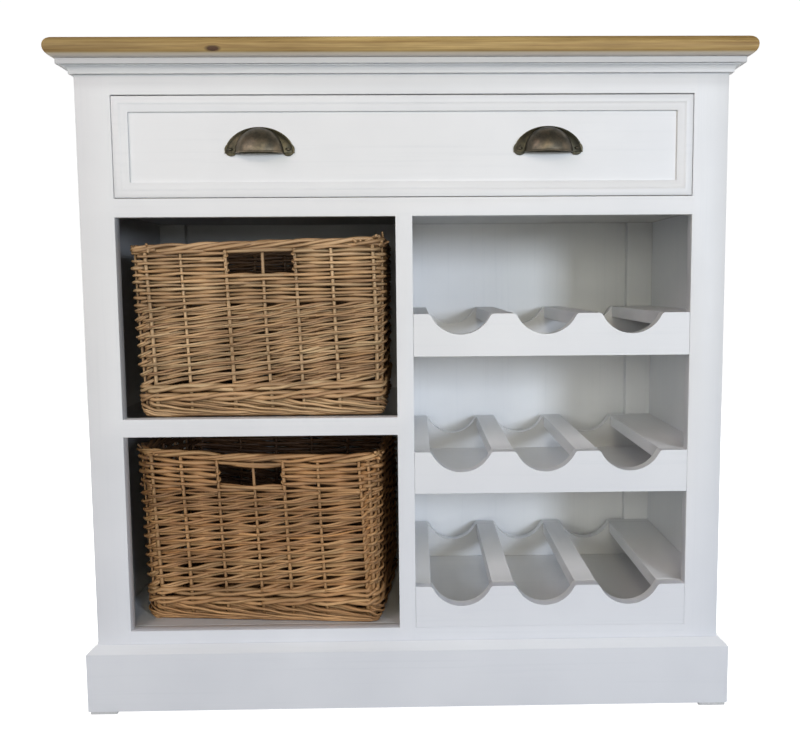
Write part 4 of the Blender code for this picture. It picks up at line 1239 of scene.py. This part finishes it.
# %% Weave the sides
def crossing(basket, heights, stake, row, turn):
    """Where a rod of a row passes a stake: in front of it at even turns, behind it at odd ones."""
    return stake, heights[row] + basket.wobble(stake, row, UNEVEN), 1 if turn % 2 == 0 else -1


def slewed_rods(basket, heights):
    """Each rod starts at its own stake and climbs a row with every stake, until a new one takes over."""
    rods, dice, top = [], basket.dice, basket.rows_up
    for start in range(basket.count):
        way = [crossing(basket, heights, start + row, row, row) for row in range(top + 1)]
        joins = sorted({0, top} | {dice.randrange(5, top - 4) for _ in range(2)})
        for low, high in zip(joins, joins[1:]):
            for pair in (1, -1):
                thick = dice.uniform(0.86, 1.10) * (0.00200 - 0.0003 * low / top) * basket.shape["stout"]
                rods.append(woven(basket, way[low : high + 1], thick, 0.00001, pair))
    return rods


def level_rods(basket, heights):
    """Rows that stay level. At the hand hole they stop at the stakes beside it."""
    rods, dice, top = [], basket.dice, basket.rows_up
    left, right = basket.hole
    for row in range(top + 1, len(heights)):
        open_row = HOLE_FOOT < heights[row] < HOLE_HEAD
        first = right if open_row else dice.randrange(basket.count)
        last = left + basket.count if open_row else first + basket.count
        while first < last:
            ahead = min(last, first + dice.randrange(6, 13))
            ahead = last if last - ahead < 3 else ahead
            way = [crossing(basket, heights, stake, row, stake + row) for stake in range(first, ahead + 1)]
            rods.append(woven(basket, way, dice.uniform(0.0023, 0.0030) * basket.shape["stout"], 0.00003))
            first = ahead
    return rods


def siding(basket):
    """All rods of the siding of one basket."""
    heights = row_heights(basket)
    return slewed_rods(basket, heights) + level_rods(basket, heights)


for basket, middle in ((upper, 0.007), (lower, -0.006)):
    basket.hole = (basket.nearest(middle) - 1, basket.nearest(middle) + 1)
    print("hand hole between stakes", basket.hole)

# %% [markdown]
# ### Stakes, waling, foot and rim
# The waling's three rods take turns, so at each stake one of them is behind and two are in front, one above
# the other. The foot border's rods come from behind the waling, run down slantwise across two or three
# stakes and tuck in at the foot. The rim is a rope of four strands with a long twist, as the stakes bent
# down and laid along each other make it.

# %% Stakes, waling, foot border and rim
FOOT_BAND = 0.018
WALE_RISE, WALE_HALF = 0.0124, 0.0030
FOOT_WAY = ((0.0212, 0, -0.9), (0.0168, 1, 1.05), (0.0098, 1, 1.3), (0.0042, 0, 0.7), (0.0036, 0, -0.5))
EDGE_RODS, EDGE_THICK = ((0.0033, 0.0008), (0.0085, -0.0030), (0.0150, -0.0040)), 0.0031
STRANDS, RIM_STEPS, TWISTS, ROPE = 4, 260, 8, 0.0036


def upright_rods(basket):
    """The stakes, from the base up into the rim."""
    rods, dice = [], basket.dice
    for stake in range(basket.count):
        thick, sway = dice.uniform(0.0023, 0.0029), dice.uniform(-0.0016, 0.0016)
        points, radii = [], []
        for k in range(13):
            z = 0.004 + (BASKET_TALL - 0.012) * k / 12
            points.append(basket.at(basket.run(stake, z) + sway * math.sin(math.pi * k / 12), z, 0))
            radii.append(thick * (1 - 0.10 * k / 12))
        rods.append((points, radii, 0.66 + 0.16 * dice.random()))
    return rods


def waling(basket):
    """Three thick rods that take turns behind a stake and go round twice, from the middle of the back."""
    rods, dice = [], basket.dice
    start = -(basket.count // 2)
    spans = int(2.15 * basket.count)
    for strand in range(3):
        begin = 0
        while begin < spans:
            end = min(spans, begin + dice.randrange(9, 16))
            crossings = []
            for n in range(begin, end + 1):
                phase = (n - strand) % 3
                z = FOOT_BAND + 0.0032 + WALE_RISE * n / basket.count + (-WALE_HALF, WALE_HALF, 0.0)[phase]
                crossings.append((n + start, z + dice.uniform(-0.0007, 0.0007), (1, 1, -1)[phase]))
            rods.append(woven(basket, crossings, dice.uniform(0.0031, 0.0037), 0.0))
            begin = end
    return rods


def foot_border(basket):
    """Slanting rods at the foot, and the rods along its edge."""
    rods, dice = [], basket.dice
    for stake in range(basket.count):
        drop = dice.uniform(-0.0008, 0.0008)
        way = [(stake + k, height + drop * moved, side) for k, (height, moved, side) in enumerate(FOOT_WAY)]
        for pair in (1, -1):
            rods.append(woven(basket, way, dice.uniform(0.0019, 0.0025), 0.0001, pair))
    for height, out in EDGE_RODS:
        for part in range(5):
            runs = [ROUND * (part + (k - 1) / 22) / 5 for k in range(25)]
            points = [basket.at(run, height + dice.uniform(-0.0002, 0.0002), out) for run in runs]
            rods.append((points, [EDGE_THICK] * len(points), dice.random()))
    return rods


def rim(basket):
    """A rope of four strands with a long twist, never quite even."""
    rods, dice = [], basket.dice
    for strand in range(STRANDS):
        begin = 0
        while begin < RIM_STEPS:
            end = min(RIM_STEPS, begin + dice.randrange(26, 52))
            phase = 2 * math.pi * strand / STRANDS + dice.uniform(-0.35, 0.35)
            thick, lift = growth(dice, dice.uniform(0.0024, 0.0031), 0.0), dice.uniform(-0.0006, 0.0006)
            points, radii = [], []
            for k in range(max(0, begin - 3), end + 4):
                run = ROUND * k / RIM_STEPS
                turned = phase + 2 * math.pi * run / (ROUND / TWISTS) + 0.5 * math.sin(run * 19 + phase)
                ends = min(k - begin + 3, end + 3 - k, 6) / 6
                z = BASKET_TALL - 0.0066 + lift + ROPE * math.sin(turned)
                points.append(basket.at(run, z, 0.0002 + 0.0040 * math.cos(turned) * (0.55 + 0.45 * ends)))
                radii.append(thick(k / 8) * (0.8 + 0.2 * ends))
            rods.append((points, radii, dice.uniform(0.12, 0.90)))
            begin = end
    return rods


print("strands in the rim:", STRANDS)

# %% [markdown]
# ### Hand hole and tufts
# The hole is a gap of a few rows between three stakes. Rods that arrive at it turn back round the stake at
# its edge, and a rod lies along its top and bottom, wound round the middle stake. At the corners of the
# rim a few ends of stakes stick out.

# %% Hand hole and tufts
HOLE_RODS = ((HOLE_FOOT - 0.0012, (-1, 0.35, 1.0, 0.35, -1)), (HOLE_HEAD + 0.0015, (-1, 0.2, 0.9, 0.2, -1)))
HOLE_OUT, HOLE_THICK, TURN_THICK = 0.0048, 0.0024, 0.0013


def hole_edges(basket):
    """Rods round the hand hole."""
    rods, dice = [], basket.dice
    left, right = basket.hole
    heights = [z for z in row_heights(basket) if HOLE_FOOT < z < HOLE_HEAD]
    for stake, turned in ((left, 1), (right, -1)):
        for low, high in zip(heights[::2], heights[1::2]):
            points = []
            for k in range(9):
                angle = math.pi * k / 8
                run = basket.run(stake, low) + turned * 0.0034 * math.sin(angle)
                points.append(basket.at(run, low + (high - low) * k / 8, 0.0036 * math.cos(angle)))
            rods.append((points, [TURN_THICK] * 9, dice.random()))
    for z, sides in HOLE_RODS:
        runs = [basket.run(left, z), basket.run(left, z) + 0.006, basket.run(left + 1, z),
                basket.run(right, z) - 0.006, basket.run(right, z)]
        points = []
        for (a, sa), (b, sb) in zip(zip(runs, sides), zip(runs[1:], sides[1:])):
            points += [basket.at(a + (b - a) * k / 6, z, HOLE_OUT * (sa + (sb - sa) * k / 6))
                       for k in range(6)]
        points.append(basket.at(runs[-1], z, HOLE_OUT * sides[-1]))
        rods.append((points, [HOLE_THICK] * len(points), 0.86))
    return rods


def tufts(basket, corners):
    """Short ends that stick out of the rim at some corners, and lie along it."""
    rods, dice = [], basket.dice
    centres = [STRAIGHT_X + QUARTER / 2, STRAIGHT_X + STRAIGHT_Y + 1.5 * QUARTER,
               2 * STRAIGHT_X + STRAIGHT_Y + 2.5 * QUARTER, ROUND - QUARTER / 2]
    for corner, ends in corners:
        for _ in range(ends):
            run, z = centres[corner] + dice.uniform(-0.030, 0.022), BASKET_TALL - dice.uniform(0.001, 0.013)
            low = basket.at(run, z, dice.uniform(0.000, 0.0045))
            along = basket.at(run + 0.01, z, 0.003) - basket.at(run, z, 0.003)
            outwards = Vector((low.x, low.y, 0)).normalized()
            way = along.normalized() * dice.uniform(-1.0, 1.3) + outwards * dice.uniform(-0.1, 0.5)
            way = (way + Vector((0, 0, dice.uniform(0.0, 0.7)))).normalized() * dice.uniform(0.005, 0.011)
            bend = Vector((dice.uniform(-1, 1), dice.uniform(-1, 1), -0.5)) * 0.002
            points = [low + way * t + bend * t * t for t in (0, 0.25, 0.5, 0.75, 1.0)]
            full = dice.uniform(0.0014, 0.0026)
            rods.append((points, [full, full, full * 0.95, full * 0.9, full * 0.8], dice.uniform(0.3, 0.9)))
    return rods


for basket in (upper, lower):
    print("rows beside the hand hole:", sum(HOLE_FOOT < z < HOLE_HEAD for z in row_heights(basket)))

# %% [markdown]
# ### The base
# The base is a flat weave, front to back sticks with rods woven across them. It is seen from above when a
# basket is pulled out, and from below.

# %% Weave the base
BASE_HEIGHT, BASE_SWING, BASE_ROW, STICKS, STICK_THICK = 0.0075, 0.0040, 0.0056, 9, 0.0030


def base_weave(basket):
    """Sticks from front to back, and rods woven across them."""
    rods, dice = [], basket.dice
    half_x, half_y = BASKET_HALF_X - TAPER - 0.004, BASKET_HALF_Y - TAPER - 0.004
    sticks = [half_x * (2 * k / (STICKS - 1) - 1) * 0.96 for k in range(STICKS)]
    for x in sticks:
        points = [Vector((x, half_y * (k / 4 - 1), BASE_HEIGHT)) for k in range(9)]
        rods.append((points, [STICK_THICK] * 9, dice.random()))
    rows = int(2 * half_y / BASE_ROW)
    for row in range(rows):
        y = half_y * (2 * (row + 0.5) / rows - 1)
        points, full = [], dice.uniform(0.0023, 0.0027)
        for gap, (a, b) in enumerate(zip(sticks, sticks[1:])):
            side = 1 if (gap + row) % 2 == 0 else -1
            for k in range(6 + (gap == len(sticks) - 2)):
                z = BASE_HEIGHT + BASE_SWING * side * math.cos(math.pi * k / 6)
                points.append(Vector((a + (b - a) * k / 6, y + dice.uniform(-0.0002, 0.0002), z)))
        rods.append((points, [full] * len(points), dice.random()))
    return rods


print("sticks in a base:", STICKS)

# %% [markdown]
# ### Both baskets
# The upper basket's siding is slewed in its lower half and its rim is higher on the right. The lower
# basket is slewed nearly to the rim, its rim sags in the middle, it stands a little turned, and its front
# wall runs a little out of true. Each basket's pieces ride on its own body, so that it slides out as one.

# %% Weave both baskets
def weave_basket(name, basket, turn, willow, corners):
    """Makes all pieces of a basket in its bay."""
    low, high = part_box(name)
    place = Vector(((low.x + high.x) / 2, (low.y + high.y) / 2, low.z))
    makings = {"siding": siding(basket), "stakes": upright_rods(basket), "waling": waling(basket),
               "foot": foot_border(basket), "rim": rim(basket), "hole": hole_edges(basket),
               "tufts": tufts(basket, corners), "base": base_weave(basket)}
    for making, rods in makings.items():
        piece = draw_rods(f"{name}_{making}", rods, turn, place)
        piece.data.materials.append(willow)
        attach(piece, name)
    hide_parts(name)


weave_basket("basket_upper", upper, 0.0, willow_upper, ((0, 12), (1, 4), (2, 4), (3, 4)))
weave_basket("basket_lower", lower, math.radians(-3.5), willow_lower, ((0, 14), (1, 4), (2, 4), (3, 13)))
